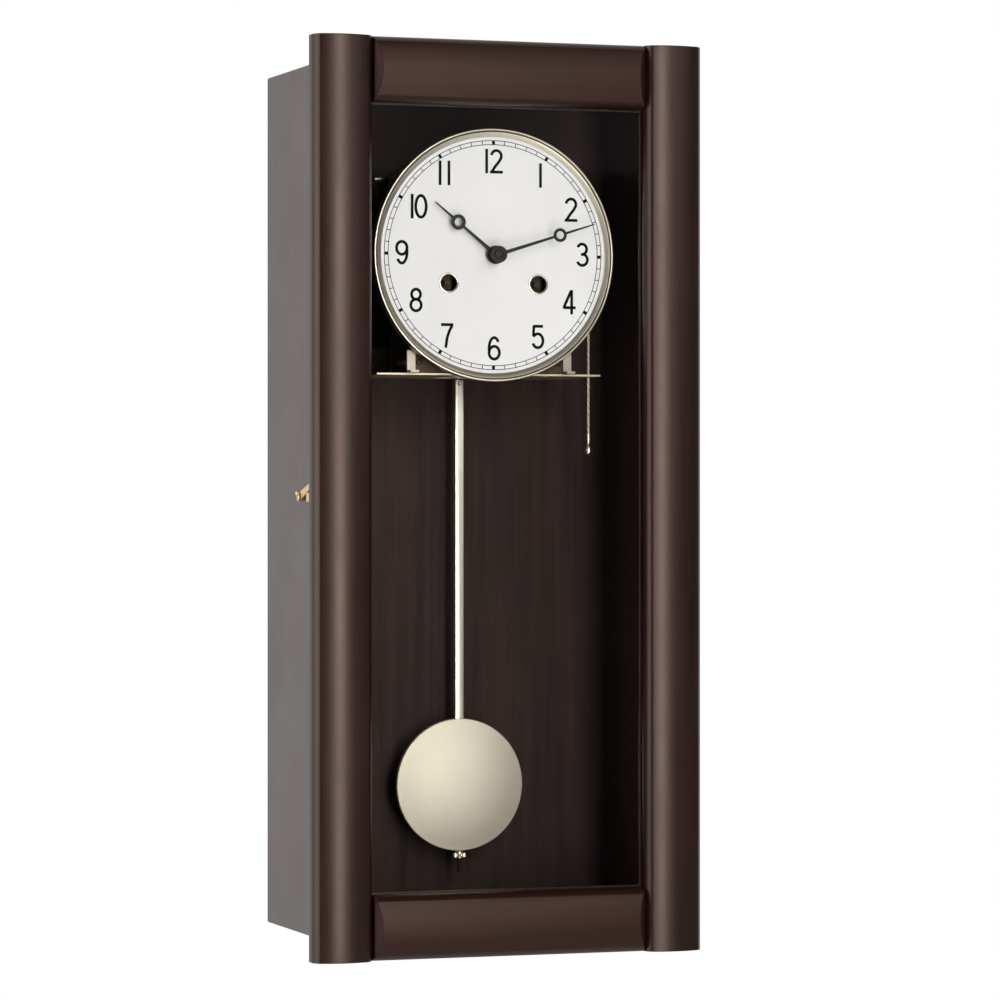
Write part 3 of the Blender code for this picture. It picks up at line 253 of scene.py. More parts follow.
def place_camera():
    data = bpy.data.cameras.new("viewer")
    data.lens, data.sensor_width = 154.8, 36.0
    data.shift_x, data.shift_y = 0.005, -0.0015
    data.clip_end = 50.0
    viewer = bpy.data.objects.new("viewer", data)
    viewer.location = (-0.911, -2.7485, 0.0)
    viewer.rotation_euler = (radians(90.0), 0.0, radians(-19.0))
    bpy.context.scene.collection.objects.link(viewer)
    bpy.context.scene.camera = viewer


place_camera()

CORD_X, CORD_DEPTH = 80.7, 59.3
CORD_TOP, CORD_FOOT = 127.0, 43.8
CORD_RADIUS = 0.8
CORD_STEPS = 28
pull_cord = bent_wire("twisted_pull_cord",
                      [at(CORD_X, CORD_DEPTH, CORD_TOP - (CORD_TOP - CORD_FOOT) * i / CORD_STEPS)
                       for i in range(CORD_STEPS + 1)], CORD_RADIUS, 4)


# ---- finishes

def srgb(*levels):
    """Linear colour of a shade given as 0-255 levels."""
    def one(level):
        value = level / 255
        return value / 12.92 if value <= 0.04045 else ((value + 0.055) / 1.055) ** 2.4
    return (*[one(level) for level in levels], 1.0)


def node_of(tree, kind, **values):
    made = tree.nodes.new(kind)
    for key, value in values.items():
        setattr(made, key, value)
    return made


def wire_up(tree, source, target):
    """Links a socket to another node's output, or sets it to a plain value."""
    if hasattr(source, "is_linked"):
        tree.links.new(source, target)
    else:
        target.default_value = source


def effect(name, outputs):
    """An empty node group: its tree, the vector it is given and its named values to be filled in."""
    tree = bpy.data.node_groups.new(name, "ShaderNodeTree")
    tree.interface.new_socket("Vector", in_out="INPUT", socket_type="NodeSocketVector")
    for label in outputs:
        tree.interface.new_socket(label, in_out="OUTPUT", socket_type="NodeSocketFloat")
    given, result = tree.nodes.new("NodeGroupInput"), tree.nodes.new("NodeGroupOutput")
    return tree, given.outputs["Vector"], result.inputs


def noise(tree, vector, scale, detail=3.0, roughness=0.55):
    made = node_of(tree, "ShaderNodeTexNoise")
    wire_up(tree, vector, made.inputs["Vector"])
    for key, value in (("Scale", scale), ("Detail", detail), ("Roughness", roughness)):
        made.inputs[key].default_value = value
    return made.outputs["Fac"]


def remapped(tree, value, low, high, to_low=0.0, to_high=1.0):
    made = node_of(tree, "ShaderNodeMapRange", clamp=True)
    wire_up(tree, value, made.inputs["Value"])
    for key, number in (("From Min", low), ("From Max", high), ("To Min", to_low), ("To Max", to_high)):
        made.inputs[key].default_value = number
    return made.outputs["Result"]


def reckoned(tree, operation, first, second=None):
    made = node_of(tree, "ShaderNodeMath", operation=operation)
    for socket, value in zip(made.inputs, (first, second)):
        if value is not None:
            wire_up(tree, value, socket)
    return made.outputs[0]


def stretched(tree, vector, scale):
    made = node_of(tree, "ShaderNodeMapping")
    wire_up(tree, vector, made.inputs["Vector"])
    made.inputs["Scale"].default_value = scale
    return made.outputs["Vector"]


def wood_figure():
    """Grain that runs along Z: broad streaks, fine dark pores and a height for both."""
    tree, vector, result = effect("wood_figure", ["Streaks", "Pores", "Height"])
    wander = noise(tree, stretched(tree, vector, (1.0, 1.0, 0.12)), 22.0, 2.0)
    shifted = node_of(tree, "ShaderNodeVectorMath", operation="MULTIPLY_ADD")
    combine = node_of(tree, "ShaderNodeCombineXYZ")
    wire_up(tree, wander, combine.inputs["X"])
    wire_up(tree, combine.outputs["Vector"], shifted.inputs[0])
    shifted.inputs[1].default_value = (0.006, 0.0, 0.0)
    wire_up(tree, vector, shifted.inputs[2])
    bent = shifted.outputs["Vector"]
    broad = noise(tree, stretched(tree, bent, (1.0, 1.0, 0.035)), 160.0, 4.0, 0.6)
    fine = noise(tree, stretched(tree, bent, (1.0, 1.0, 0.02)), 900.0, 3.0, 0.6)
    pores = noise(tree, stretched(tree, bent, (1.0, 1.0, 0.05)), 2600.0, 2.0, 0.5)
    streaks = reckoned(tree, "ADD", reckoned(tree, "MULTIPLY", broad, 0.65), reckoned(tree, "MULTIPLY", fine, 0.35))
    dark = remapped(tree, pores, 0.60, 0.72)
    wire_up(tree, remapped(tree, streaks, 0.33, 0.68), result["Streaks"])
    wire_up(tree, dark, result["Pores"])
    height = reckoned(tree, "SUBTRACT", reckoned(tree, "MULTIPLY", streaks, 0.5), dark)
    wire_up(tree, height, result["Height"])
    return tree


def handling():
    """Slight unevenness of a polished or lacquered surface: broad sheen patches and fine specks."""
    tree, vector, result = effect("handling", ["Patches", "Specks"])
    wire_up(tree, remapped(tree, noise(tree, vector, 14.0, 4.0, 0.6), 0.3, 0.7), result["Patches"])
    wire_up(tree, remapped(tree, noise(tree, vector, 1800.0, 2.0, 0.6), 0.35, 0.65), result["Specks"])
    return tree


def brush_marks():
    """Fine scratches along Z."""
    tree, vector, result = effect("brush_marks", ["Marks"])
    wire_up(tree, noise(tree, stretched(tree, vector, (1.0, 1.0, 0.02)), 4200.0, 3.0, 0.7), result["Marks"])
    return tree


def turning_marks():
    """Fine rings round the Y axis through the pattern's own origin, as a lathe leaves."""
    tree, vector, result = effect("turning_marks", ["Marks", "Sweep"])
    parts = node_of(tree, "ShaderNodeSeparateXYZ")
    wire_up(tree, vector, parts.inputs["Vector"])
    x, z = parts.outputs["X"], parts.outputs["Z"]
    squares = reckoned(tree, "ADD", reckoned(tree, "MULTIPLY", x, x), reckoned(tree, "MULTIPLY", z, z))
    turn = reckoned(tree, "ARCTAN2", x, z)
    cosine = reckoned(tree, "COSINE", turn)
    polar, rays = (node_of(tree, "ShaderNodeCombineXYZ") for _ in range(2))
    wire_up(tree, reckoned(tree, "SQRT", squares), polar.inputs["X"])
    wire_up(tree, parts.outputs["Y"], polar.inputs["Y"])
    wire_up(tree, reckoned(tree, "MULTIPLY", cosine, 0.0006), polar.inputs["Z"])
    wire_up(tree, noise(tree, polar.outputs["Vector"], 5200.0, 3.0, 0.7), result["Marks"])
    wire_up(tree, cosine, rays.inputs["X"])
    wire_up(tree, reckoned(tree, "SINE", turn), rays.inputs["Y"])
    wire_up(tree, noise(tree, rays.outputs["Vector"], 3.0, 3.0, 0.6), result["Sweep"])
    return tree


WOOD = wood_figure()
HANDLING = handling()
BRUSHED = brush_marks()
TURNED = turning_marks()

COLOUR_A, COLOUR_B, COLOUR_OUT = 6, 7, 2    # the mix node's colour sockets


class Finish:
    """A material under construction: its Principled shader, and Object coordinates to draw patterns on."""

    def __init__(self, name, roughness=0.4, metallic=0.0, **sockets):
        self.material = bpy.data.materials.new(name)
        self.material.use_nodes = True
        self.tree = self.material.node_tree
        self.shader = self.tree.nodes["Principled BSDF"]
        self.shader.inputs["Roughness"].default_value = roughness
        self.shader.inputs["Metallic"].default_value = metallic
        for key, value in sockets.items():
            self.shader.inputs[key.replace("_", " ")].default_value = value
        self.place = node_of(self.tree, "ShaderNodeTexCoord").outputs["Object"]

    def mapped(self, location=(0.0, 0.0, 0.0), rotation=(0.0, 0.0, 0.0)):
        made = node_of(self.tree, "ShaderNodeMapping")
        wire_up(self.tree, self.place, made.inputs["Vector"])
        made.inputs["Location"].default_value = location
        made.inputs["Rotation"].default_value = rotation
        return made.outputs["Vector"]

    def effect(self, group, vector):
        made = node_of(self.tree, "ShaderNodeGroup")
        made.node_tree = group
        wire_up(self.tree, vector, made.inputs["Vector"])
        return made.outputs

    def blend(self, share, first, second):
        """Colour between two shades, or between a blend so far and a shade."""
        made = node_of(self.tree, "ShaderNodeMix", data_type="RGBA")
        wire_up(self.tree, share, made.inputs["Factor"])
        wire_up(self.tree, first, made.inputs[COLOUR_A])
        wire_up(self.tree, second, made.inputs[COLOUR_B])
        return made.outputs[COLOUR_OUT]

    def colour(self, source):
        wire_up(self.tree, source, self.shader.inputs["Base Color"])

    def roughness(self, source, low, high, from_low=0.0, from_high=1.0):
        wire_up(self.tree, remapped(self.tree, source, from_low, from_high, low, high),
                self.shader.inputs["Roughness"])

    def bump(self, height, strength, distance):
        made = node_of(self.tree, "ShaderNodeBump")
        made.inputs["Strength"].default_value = strength
        made.inputs["Distance"].default_value = distance
        wire_up(self.tree, height, made.inputs["Height"])
        wire_up(self.tree, made.outputs["Normal"], self.shader.inputs["Normal"])

    def times(self, value, factor):
        return reckoned(self.tree, "MULTIPLY", value, factor)


GRAIN_TURNS = {"Z": (0.0, 0.0, 0.0), "X": (0.0, radians(90.0), 0.0), "Y": (radians(90.0), 0.0, 0.0)}


def lacquered_wood(name, deep, light, along="Z", shift=0.0, roughness=(0.31, 0.37), tint=(1.0, 0.84, 0.72, 1.0)):
    """Stained timber under a satin lacquer, its grain running along Z or X."""
    made = Finish(name, Specular_Tint=tint)
    figure = made.effect(WOOD, made.mapped((shift, shift, shift), GRAIN_TURNS[along]))
    touched = made.effect(HANDLING, made.place)
    stained = made.blend(figure["Streaks"], deep, light)
    made.colour(made.blend(made.times(figure["Pores"], 0.55), stained, (*[0.35 * c for c in deep[:3]], 1.0)))
    made.roughness(touched["Patches"], *roughness)
    made.bump(figure["Height"], 0.10, 0.00012)
    return made.material


def scratched(made, marks, strength, roughness):
    """Gives a metal the gloss and the height of its tool marks."""
    made.roughness(marks, *roughness, 0.25, 0.75)
    made.bump(marks, strength, 0.00004)
    return made.material


def brushed_metal(name, light, dark, roughness, along="Z"):
    """Metal with fine scratches along one axis and a slightly uneven lacquer."""
    made = Finish(name, metallic=1.0)
    scratches = made.effect(BRUSHED, made.mapped(rotation=GRAIN_TURNS[along]))["Marks"]
    touched = made.effect(HANDLING, made.place)
    made.colour(made.blend(made.times(touched["Patches"], 0.35), light, dark))
    return scratched(made, scratches, 0.16, roughness)


def turned_metal(name, light, dark, roughness, centre, marks=0.2, tilt=0.0):
    """Metal turned on a lathe about a centre (x, z), or with a tilt of 90 degrees about (x, -depth)."""
    made = Finish(name, metallic=1.0)
    place = made.mapped((-centre[0] * MM, 0.0, -centre[1] * MM), (radians(tilt), 0.0, 0.0))
    rings = made.effect(TURNED, place)
    made.colour(made.blend(made.times(rings["Sweep"], 0.35), light, dark))
    return scratched(made, rings["Marks"], marks, roughness)


def plain_coating(name, light, dark, roughness, grain=0.05, metallic=0.0, **sockets):
    """Paint, print or plating: a shade with faint patches and a fine surface grain."""
    made = Finish(name, metallic=metallic, **sockets)
    touched = made.effect(HANDLING, made.place)
    made.colour(made.blend(touched["Patches"], light, dark))
    made.roughness(touched["Specks"], *roughness)
    made.bump(touched["Specks"], grain, 0.00005)
    return made.material


DIAL_CENTRE = (0.0, 158.5)
BOB_CENTRE = (0.0, -190.7)
BELL_X, STRIKE_DEPTH = -28.6, 29.5      # the bell's axis, and the depth of the bell and the hammer's head

stile_wood = lacquered_wood("stile_lacquer", srgb(22, 9, 7), srgb(42, 20, 16), tint=(1.0, 0.78, 0.68, 1.0))
rail_wood = lacquered_wood("rail_lacquer", srgb(24, 8, 5), srgb(42, 17, 12), along="X", shift=0.37,
                           roughness=(0.40, 0.48), tint=(0.8, 0.58, 0.51, 1.0))
case_wood = lacquered_wood("case_side_lacquer", srgb(30, 16, 15), srgb(50, 31, 30), shift=0.71)
case_end_wood = lacquered_wood("case_end_lacquer", srgb(28, 16, 14), srgb(48, 28, 23), along="X", shift=1.3)
backboard_wood = lacquered_wood("backboard_veneer", srgb(9, 5, 5), srgb(48, 33, 29), shift=0.13,
                                roughness=(0.58, 0.68), tint=(0.6, 0.5, 0.46, 1.0))

rod_metal = brushed_metal("champagne_rod", (0.80, 0.755, 0.64, 1.0), (0.66, 0.60, 0.48, 1.0), (0.26, 0.40))
bezel_metal = turned_metal("champagne_bezel", (0.74, 0.70, 0.58, 1.0), (0.58, 0.53, 0.42, 1.0), (0.26, 0.42),
                           DIAL_CENTRE)
# painted shade: a darker copy of the bezel's metal for its outer wall and the groove inside its rim
bezel_wall = turned_metal("shaded_bezel_wall", (0.20, 0.13, 0.10, 1.0), (0.12, 0.08, 0.06, 1.0), (0.34, 0.48),
                          DIAL_CENTRE)
bob_metal = turned_metal("champagne_bob", (0.76, 0.715, 0.60, 1.0), (0.68, 0.63, 0.51, 1.0), (0.60, 0.68),
                         BOB_CENTRE, marks=0.08)
grommet_metal = brushed_metal("grommet_metal", (0.76, 0.71, 0.58, 1.0), (0.6, 0.54, 0.42, 1.0), (0.2, 0.3), "Y")
brass = brushed_metal("satin_brass", (0.70, 0.54, 0.27, 1.0), (0.46, 0.33, 0.15, 1.0), (0.28, 0.44))
# painted shade: the movement plates and the suspension cock get a near-black bronze, darker than their metal, for
# the shade behind the dial
shaded_plate_bronze = brushed_metal("shaded_plate_bronze", (0.06, 0.045, 0.03, 1.0), (0.04, 0.03, 0.02, 1.0), (0.46, 0.6), "X")
seat_metal = brushed_metal("seat_metal", (0.52, 0.45, 0.34, 1.0), (0.38, 0.31, 0.23, 1.0), (0.36, 0.5), "X")
pale_brass = brushed_metal("pale_brass", (0.78, 0.73, 0.60, 1.0), (0.62, 0.55, 0.42, 1.0), (0.22, 0.36))
bell_metal = turned_metal("bell_metal", (0.42, 0.30, 0.19, 1.0), (0.24, 0.16, 0.10, 1.0), (0.2, 0.34),
                          (BELL_X, -STRIKE_DEPTH), tilt=90.0)
steel = brushed_metal("bright_steel", (0.62, 0.62, 0.61, 1.0), (0.42, 0.41, 0.40, 1.0), (0.24, 0.42), "X")
zinc = plain_coating("zinc_plate", (0.44, 0.39, 0.33, 1.0), (0.34, 0.29, 0.25, 1.0), (0.30, 0.42), metallic=1.0)
# partly painted shade: the browned finish of the rating thread and the screws, and a darkening of the winding
# arbors and the centre shaft's end for the shade in their bores
dark_steel = plain_coating("browned_steel_and_bore_shade", srgb(62, 54, 50), srgb(42, 36, 33), (0.38, 0.52), metallic=0.75)
dial_paint = plain_coating("dial_enamel", srgb(236, 236, 236), srgb(231, 231, 230), (0.42, 0.5), 0.04)
numeral_ink = plain_coating("numeral_ink", srgb(13, 11, 12), srgb(19, 17, 18), (0.65, 0.8), 0.06,
                            Specular_IOR_Level=0.1)
hand_paint = plain_coating("hand_lacquer", srgb(22, 20, 20), srgb(30, 27, 26), (0.4, 0.5), 0.04,
                           Coat_Weight=0.1, Coat_Roughness=0.3, Specular_IOR_Level=0.25)
# painted shade: the bore of each grommet is coloured near-black for the shade inside it
well_shade = plain_coating("painted_well_shade", srgb(26, 21, 18), srgb(16, 13, 12), (0.55, 0.7))


def pane_glass():
    """Thin clear float glass: it lets the light through and keeps a faint gloss with light smears."""
    made = Finish("door_pane", roughness=0.03, Base_Color=(0.93, 0.96, 0.95, 1.0), Alpha=0.06,
                  Transmission_Weight=1.0, IOR=1.01, Coat_Weight=1.0, Coat_Roughness=0.03, Coat_IOR=1.45)
    touched = made.effect(HANDLING, made.place)
    made.roughness(touched["Patches"], 0.02, 0.06)
    return made.material


def twisted_thread():
    """Two-ply cotton: diagonal plies round the cord, painted darker in the grooves between them as shade, and fine
    fibres along them.
    """
    made = Finish("cotton_cord", roughness=0.85, Sheen_Weight=0.3)
    place = made.mapped(location=(-CORD_X * MM, CORD_DEPTH * MM, 0.0))
    parts = node_of(made.tree, "ShaderNodeSeparateXYZ")
    wire_up(made.tree, place, parts.inputs["Vector"])
    turn = reckoned(made.tree, "ARCTAN2", parts.outputs["Y"], parts.outputs["X"])
    climb = made.times(parts.outputs["Z"], 2 * pi / 0.0042)
    plies = reckoned(made.tree, "SINE", reckoned(made.tree, "ADD", made.times(turn, 2.0), climb))
    fibres = noise(made.tree, stretched(made.tree, made.place, (1.0, 1.0, 0.4)), 5000.0, 2.0)
    share = remapped(made.tree, plies, -1.0, 0.4)
    pale = made.blend(fibres, srgb(226, 218, 198), srgb(206, 197, 174))
    # painted shade: the troughs between the plies get the darker colour
    made.colour(made.blend(share, srgb(166, 156, 134), pale))
    made.roughness(fibres, 0.78, 0.92)
    made.bump(reckoned(made.tree, "ADD", plies, fibres), 0.6, 0.00015)
    return made.material


glass = pane_glass()
cord_cotton = twisted_thread()

ENDS = ("upper", "lower")
NODE_FINISHES = {
    stile_wood: ["glass_retainer"],
    case_wood: ["case_side_left", "case_side_right"],
    case_end_wood: ["case_top", "case_bottom"],
    backboard_wood: ["backboard"],
    glass: ["door_glass"],
    dial_paint: ["dial"],
    # the movement's plates and cock take the painted-shade bronze
    shaded_plate_bronze: ["front_plate", "back_plate", "suspension_cock"],
    # the winding arbors and the centre wheel take the dark steel as painted shade for the bores they sit in
    dark_steel: ["going_arbor", "strike_arbor", "centre_wheel", "hammer"],
    brass: [*(f"hinge_{end}_{part}_leaf" for end in ENDS for part in ("case", "door")),
            *(f"pillar_{end}_{side}" for end in ENDS for side in ("left", "right")),
            "catch_pin", "hour_wheel", "minute_wheel", "going_barrel", "strike_barrel", "third_wheel",
            "escape_wheel", "hammer_wheel", "fly"],
    steel: ["hanger_plate", "cannon_pinion", "anchor", "suspension_spring", "repeat_lever", "bell_post"],
    seat_metal: ["seat_plate"],
    zinc: ["movement_foot_left", "movement_foot_right"],
}
for finish, names in NODE_FINISHES.items():
    for slot in (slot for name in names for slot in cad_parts[name].material_slots):
        slot.material = finish


def placed(obj, finish, body, replaces=()):
    """Gives a piece its finish and its body, and hides the nodes it stands for."""
    obj.data.materials.clear()
    obj.data.materials.append(finish)
    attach(obj, body)
    if replaces:
        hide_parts(*replaces)
    return obj


def second_finish(obj, finish, chosen):
    """Gives another finish to the faces whose centre passes a test of (x, depth, z) in millimetres."""
    obj.data.materials.append(finish)
    for face in obj.data.polygons:
        x, y, z = face.center / MM
        if chosen(x, -y, z):
            face.material_index = len(obj.data.materials) - 1


# ---- door

DOOR_X, DOOR_Z = 132.5, 295.0
DOOR_BACK, TAPER_START, ARRIS = 123.5, 129.3, 136.5
STILE_WIDTH, RAIL_WIDTH, TAPER_WIDTH, CROWN = 40.0, 42.0, 3.9, 3.0
TAPER_BULGE, BULGE_OUT, BULGE_FORWARD = 0.8, 0.88, 0.47     # a swell along the tapered band's own normal
OPENING_X, OPENING_Z = DOOR_X - STILE_WIDTH, DOOR_Z - RAIL_WIDTH
REBATE, REBATE_DEPTH = 6.0, 128.3
JOINT_GAP = 0.3
RAIL_CHAMFER = 4.5


def moulding(width, low_side, steps=28):
    """Section of the frame as (across, depth): straight edges, tapered bands and a crowned face."""
    half = width / 2 - TAPER_WIDTH
    middle = low_side + width / 2
    bend = (half ** 2 + CROWN ** 2) / (2 * CROWN)
    crown = [half - 2 * half * i / steps for i in range(steps + 1)]
    face = [(middle + u, ARRIS + sqrt(bend ** 2 - u ** 2) - bend + CROWN) for u in crown]
    band = [TAPER_BULGE * sin(pi * i / 6) for i in range(1, 6)]
    rise = [(i / 6, out) for i, out in enumerate(band, 1)]
    right = [(low_side + width - TAPER_WIDTH * t + BULGE_OUT * out,
              TAPER_START + (ARRIS - TAPER_START) * t + BULGE_FORWARD * out) for t, out in rise]
    left = [(2 * low_side + width - u, depth) for u, depth in right[::-1]]
    return [(low_side, DOOR_BACK), (low_side + width, DOOR_BACK), (low_side + width, TAPER_START), *right, *face,
            *left, (low_side, TAPER_START)]


def door_stile(name, side, node):
    low = -DOOR_X if side < 0 else OPENING_X
    section = [at(x, depth, -DOOR_Z) for x, depth in moulding(STILE_WIDTH, low)]
    stile = sawn(name, section, at(0.0, 0.0, 2 * DOOR_Z))
    inner = sorted((side * (OPENING_X - 1.0), side * (OPENING_X + REBATE)))
    rebate = block("stile_rebate", inner, (DOOR_BACK - 1.0, REBATE_DEPTH),
                   (-OPENING_Z - REBATE, OPENING_Z + REBATE))
    combined(stile, "DIFFERENCE", [rebate])
    eased(stile, 0.55, 3, 25.0)
    placed(stile, stile_wood, "door", [node])


def door_rail(name, side, node):
    low = OPENING_Z if side > 0 else -DOOR_Z
    end = OPENING_X - JOINT_GAP
    section = [at(-end, depth, z) for z, depth in moulding(RAIL_WIDTH, low)]
    rail = sawn(name, section, at(2 * end, 0.0, 0.0))
    front = ARRIS + CROWN
    for side_x in (-1, 1):
        edit(rail)
        bpy.ops.mesh.bisect(plane_co=at(side_x * (end - RAIL_CHAMFER), front, 0.0), plane_no=(side_x, -1.0, 0.0),
                            use_fill=True, clear_outer=True)
        close_edit()
    back = sorted((side * (OPENING_Z - 1.0), side * (OPENING_Z + REBATE)))
    rebate = block("rail_rebate", (-DOOR_X, DOOR_X), (DOOR_BACK - 1.0, REBATE_DEPTH), back)
    combined(rail, "DIFFERENCE", [rebate])
    eased(rail, 0.45, 3, 20.0)
    placed(rail, rail_wood, "door", [node])


door_stile("moulded_stile_left", -1, "door_stile_left")
door_stile("moulded_stile_right", 1, "door_stile_right")
door_rail("moulded_rail_top", 1, "door_rail_top")
door_rail("moulded_rail_bottom", -1, "door_rail_bottom")


# ---- bezel, dial print and grommets

DIAL_FACE = 99.7
BEZEL_PROFILE = [
    (80.95, 101.9), (81.05, 102.45), (81.35, 102.75), (81.7, 102.8), (82.05, 102.68), (82.32, 102.4),
    (82.45, 102.0), (82.5, 101.5), (82.5, 96.25), (82.25, 96.0), (81.2, 96.0), (81.0, 96.2), (81.0, 100.0),
    (77.25, 100.0), (77.05, 100.15), (77.0, 100.4), (77.15, 100.55), (79.65, 102.0), (79.95, 102.12),
    (80.2, 102.0), (80.35, 101.65), (80.6, 101.5),
]
bezel = lathe("turned_bezel", BEZEL_PROFILE, DIAL_CENTRE, steps=160, closed=True, smooth=30.0)
placed(bezel, bezel_metal, "case", ["bezel"])


def in_bronze(x, depth, z):
    """The bezel's outer wall and the groove inside its rim, which are given painted shade."""
    radius = hypot(x, z - DIAL_CENTRE[1])
    return (radius > 82.35 and depth < 102.2) or (80.15 < radius < 80.98 and depth < 102.0)


# the wall and the groove take the painted shade
second_finish(bezel, bezel_wall, in_bronze)

INK_LOW, INK_HIGH = DIAL_FACE + 0.01, DIAL_FACE + 0.07
INK = at(0.0, INK_HIGH - INK_LOW, 0.0)


def printed_ring(radius, width):
    outer, inner = radius + width / 2, radius - width / 2
    profile = [(outer, INK_HIGH), (outer, INK_LOW), (inner, INK_LOW), (inner, INK_HIGH)]
    return lathe("track_line", profile, DIAL_CENTRE, steps=180, closed=True)


def printed_marks(name, size, radius, count):
    """Marks modelled once at the top of the dial and spun round it."""
    half_width, half_height, middle = size[0] / 2, size[1] / 2, DIAL_CENTRE[1] + radius
    mark = block(name, (-half_width, half_width), (INK_LOW, INK_HIGH), (middle - half_height, middle + half_height))
    edit(mark)
    bpy.ops.mesh.spin(steps=count - 1, angle=2 * pi * (count - 1) / count, center=at(0.0, 0.0, DIAL_CENTRE[1]),
                      axis=FORWARD, dupli=True)
    select_mesh()
    bpy.ops.mesh.normals_make_consistent(inside=False)
    bpy.ops.object.mode_set(mode="OBJECT")
    return mark


LINE = 0.45
minute_track = gathered("minute_track", [printed_ring(74.6, LINE), printed_ring(72.0, LINE),
                                         printed_marks("track_mark", (0.5, 2.6), 73.3, 60)])
placed(minute_track, numeral_ink, "case")
placed(printed_marks("hour_dots", (2.1, 2.1), 73.25, 12), numeral_ink, "case")

STROKE = 1.9
HALF_W, HALF_H = 3.475, 6.8     # half the width and height of a figure's centre line
NUMERAL_RADIUS = 61.0
# how far each figure is set from its hour's exact place
FIGURE_SHIFTS = {1: (2.0, -0.15), 2: (0.9, 0.3), 3: (0.6, 1.4), 4: (-0.4, 0.65), 5: (0.15, -0.1), 6: (0.5, 0.3),
                 7: (-1.15, 0.15), 8: (-0.2, 0.5), 9: (-1.7, 0.75), 10: (1.9, 0.2), 11: (-3.1, 0.0), 12: (0.4, 0.2)}
FIGURE_SCALE = 1.03


def offset_sides(points, closed):
    """Both edges of a stroke of even width, mitred at its corners."""
    count = len(points)
    edges = ([], [])
    for i in range(count):
        before = points[i - 1] if closed or i else None
        after = points[(i + 1) % count] if closed or i < count - 1 else None
        runs = [(b[0] - a[0], b[1] - a[1]) for a, b in ((before, points[i]), (points[i], after)) if a and b]
        normals = [(-v / hypot(u, v), u / hypot(u, v)) for u, v in runs]
        n = (sum(a for a, _ in normals) / len(normals), sum(b for _, b in normals) / len(normals))
        reach = STROKE / 2 / (n[0] ** 2 + n[1] ** 2)
        for edge, sign in zip(edges, (1, -1)):
            edge.append((points[i][0] + sign * n[0] * reach, points[i][1] + sign * n[1] * reach))
    return edges


def stroke(points, closed=False):
    """One inked stroke of a figure, drawn round the dial's centre before it is moved to its hour."""
    left, right = offset_sides([(u * FIGURE_SCALE, v * FIGURE_SCALE) for u, v in points], closed)
    if closed:
        return sawn("stroke", upright(left, INK_LOW), INK, upright(right, INK_LOW))
    return sawn("stroke", upright(left + right[::-1], INK_LOW), INK)


def tail_stroke():
    """The oval and tail that a six and a nine share, drawn as a nine."""
    bowl = arc((0.0, 2.75), (HALF_W, 4.05), 0.0, 350.0, 35)
    tail = arc((0.0, 0.2), (HALF_W, 7.0), 20.0, -142.0, 26)
    return [(bowl, True), (tail, False)]


FIGURES = {
    "0": [(arc((0.0, 0.0), (HALF_W, HALF_H), 0.0, 352.0, 44), True)],
    "1": [([(0.0, -HALF_H - STROKE / 2), (0.0, HALF_H + STROKE / 2)], False)],
    "2": [(arc((0.0, 3.35), (3.3, 3.45), 172.0, -28.0, 26)
           + [(1.6, -0.4), (-0.9, -3.4), (-2.5, -5.9), (-2.6, -6.6)], False), ([(-4.3, -6.8), (4.3, -6.8)], False)],
    "3": [(arc((-0.15, 3.5), (3.1, 3.3), 158.0, -78.0, 24) + [(-0.9, 0.2)], False),
          ([(-0.9, 0.2), (0.3, 0.2)] + arc((0.0, -3.2), (3.45, 3.6), 70.0, -160.0, 24), False)],
    "4": [([(1.7, -7.75), (1.7, 7.75)], False), ([(4.4, -3.5), (-3.9, -3.5)], False),
          ([(-3.75, -3.7), (1.35, 7.2)], False)],
    "5": [([(-2.9, 6.8), (3.5, 6.8)], False), ([(-2.65, 7.2), (-3.0, 0.4)], False),
          (arc((-0.05, -2.4), (3.5, 4.4), 146.0, -158.0, 30), False)],
    "7": [([(-4.2, 6.8), (3.9, 6.8)], False), ([(3.3, 6.6), (1.2, 2.6), (-0.2, -1.6), (-1.1, -7.75)], False)],
    "8": [(arc((0.0, 3.6), (2.95, 3.2), 0.0, 350.0, 36), True),
          (arc((0.0, -3.15), (3.45, 3.65), 0.0, 350.0, 36), True)],
    "9": tail_stroke(),
}
FIGURES["6"] = [([(-u, -v) for u, v in points], closed) for points, closed in tail_stroke()]


def set_numerals():
    """Each figure is drawn once and copied to its hour; 10, 11 and 12 are pairs."""
    drawn = {key: gathered("figure_" + key, [stroke(points, closed) for points, closed in strokes])
             for key, strokes in FIGURES.items()}
    pairs = {"10": (("1", -4.75), ("0", 1.25)), "11": (("1", -3.03), ("1", 3.03)), "12": (("1", -5.1), ("2", 1.6))}
    copies = []
    for hour in range(1, 13):
        angle = radians(30.0 * hour)
        x = NUMERAL_RADIUS * sin(angle) + FIGURE_SHIFTS[hour][0]
        z = DIAL_CENTRE[1] + NUMERAL_RADIUS * cos(angle) + FIGURE_SHIFTS[hour][1]
        for key, shift in pairs.get(str(hour), ((str(hour), 0.0),)):
            copies.append(copy_of(drawn[key], "figure", at(x + shift, 0.0, z)))
    for figure in drawn.values():
        bpy.data.objects.remove(figure, do_unlink=True)
    return gathered("dial_numerals", copies)


placed(set_numerals(), numeral_ink, "case")

GROMMET_OUT, GROMMET_IN = 6.65, 5.4
GROMMET_X, GROMMET_Z = 30.8, 140.0


def in_well(x, depth, z):
    """The bore of a grommet, below its rim, which is given painted shade."""
    return hypot(abs(x) - GROMMET_X, z - GROMMET_Z) < GROMMET_IN + 0.05 and depth < 100.3


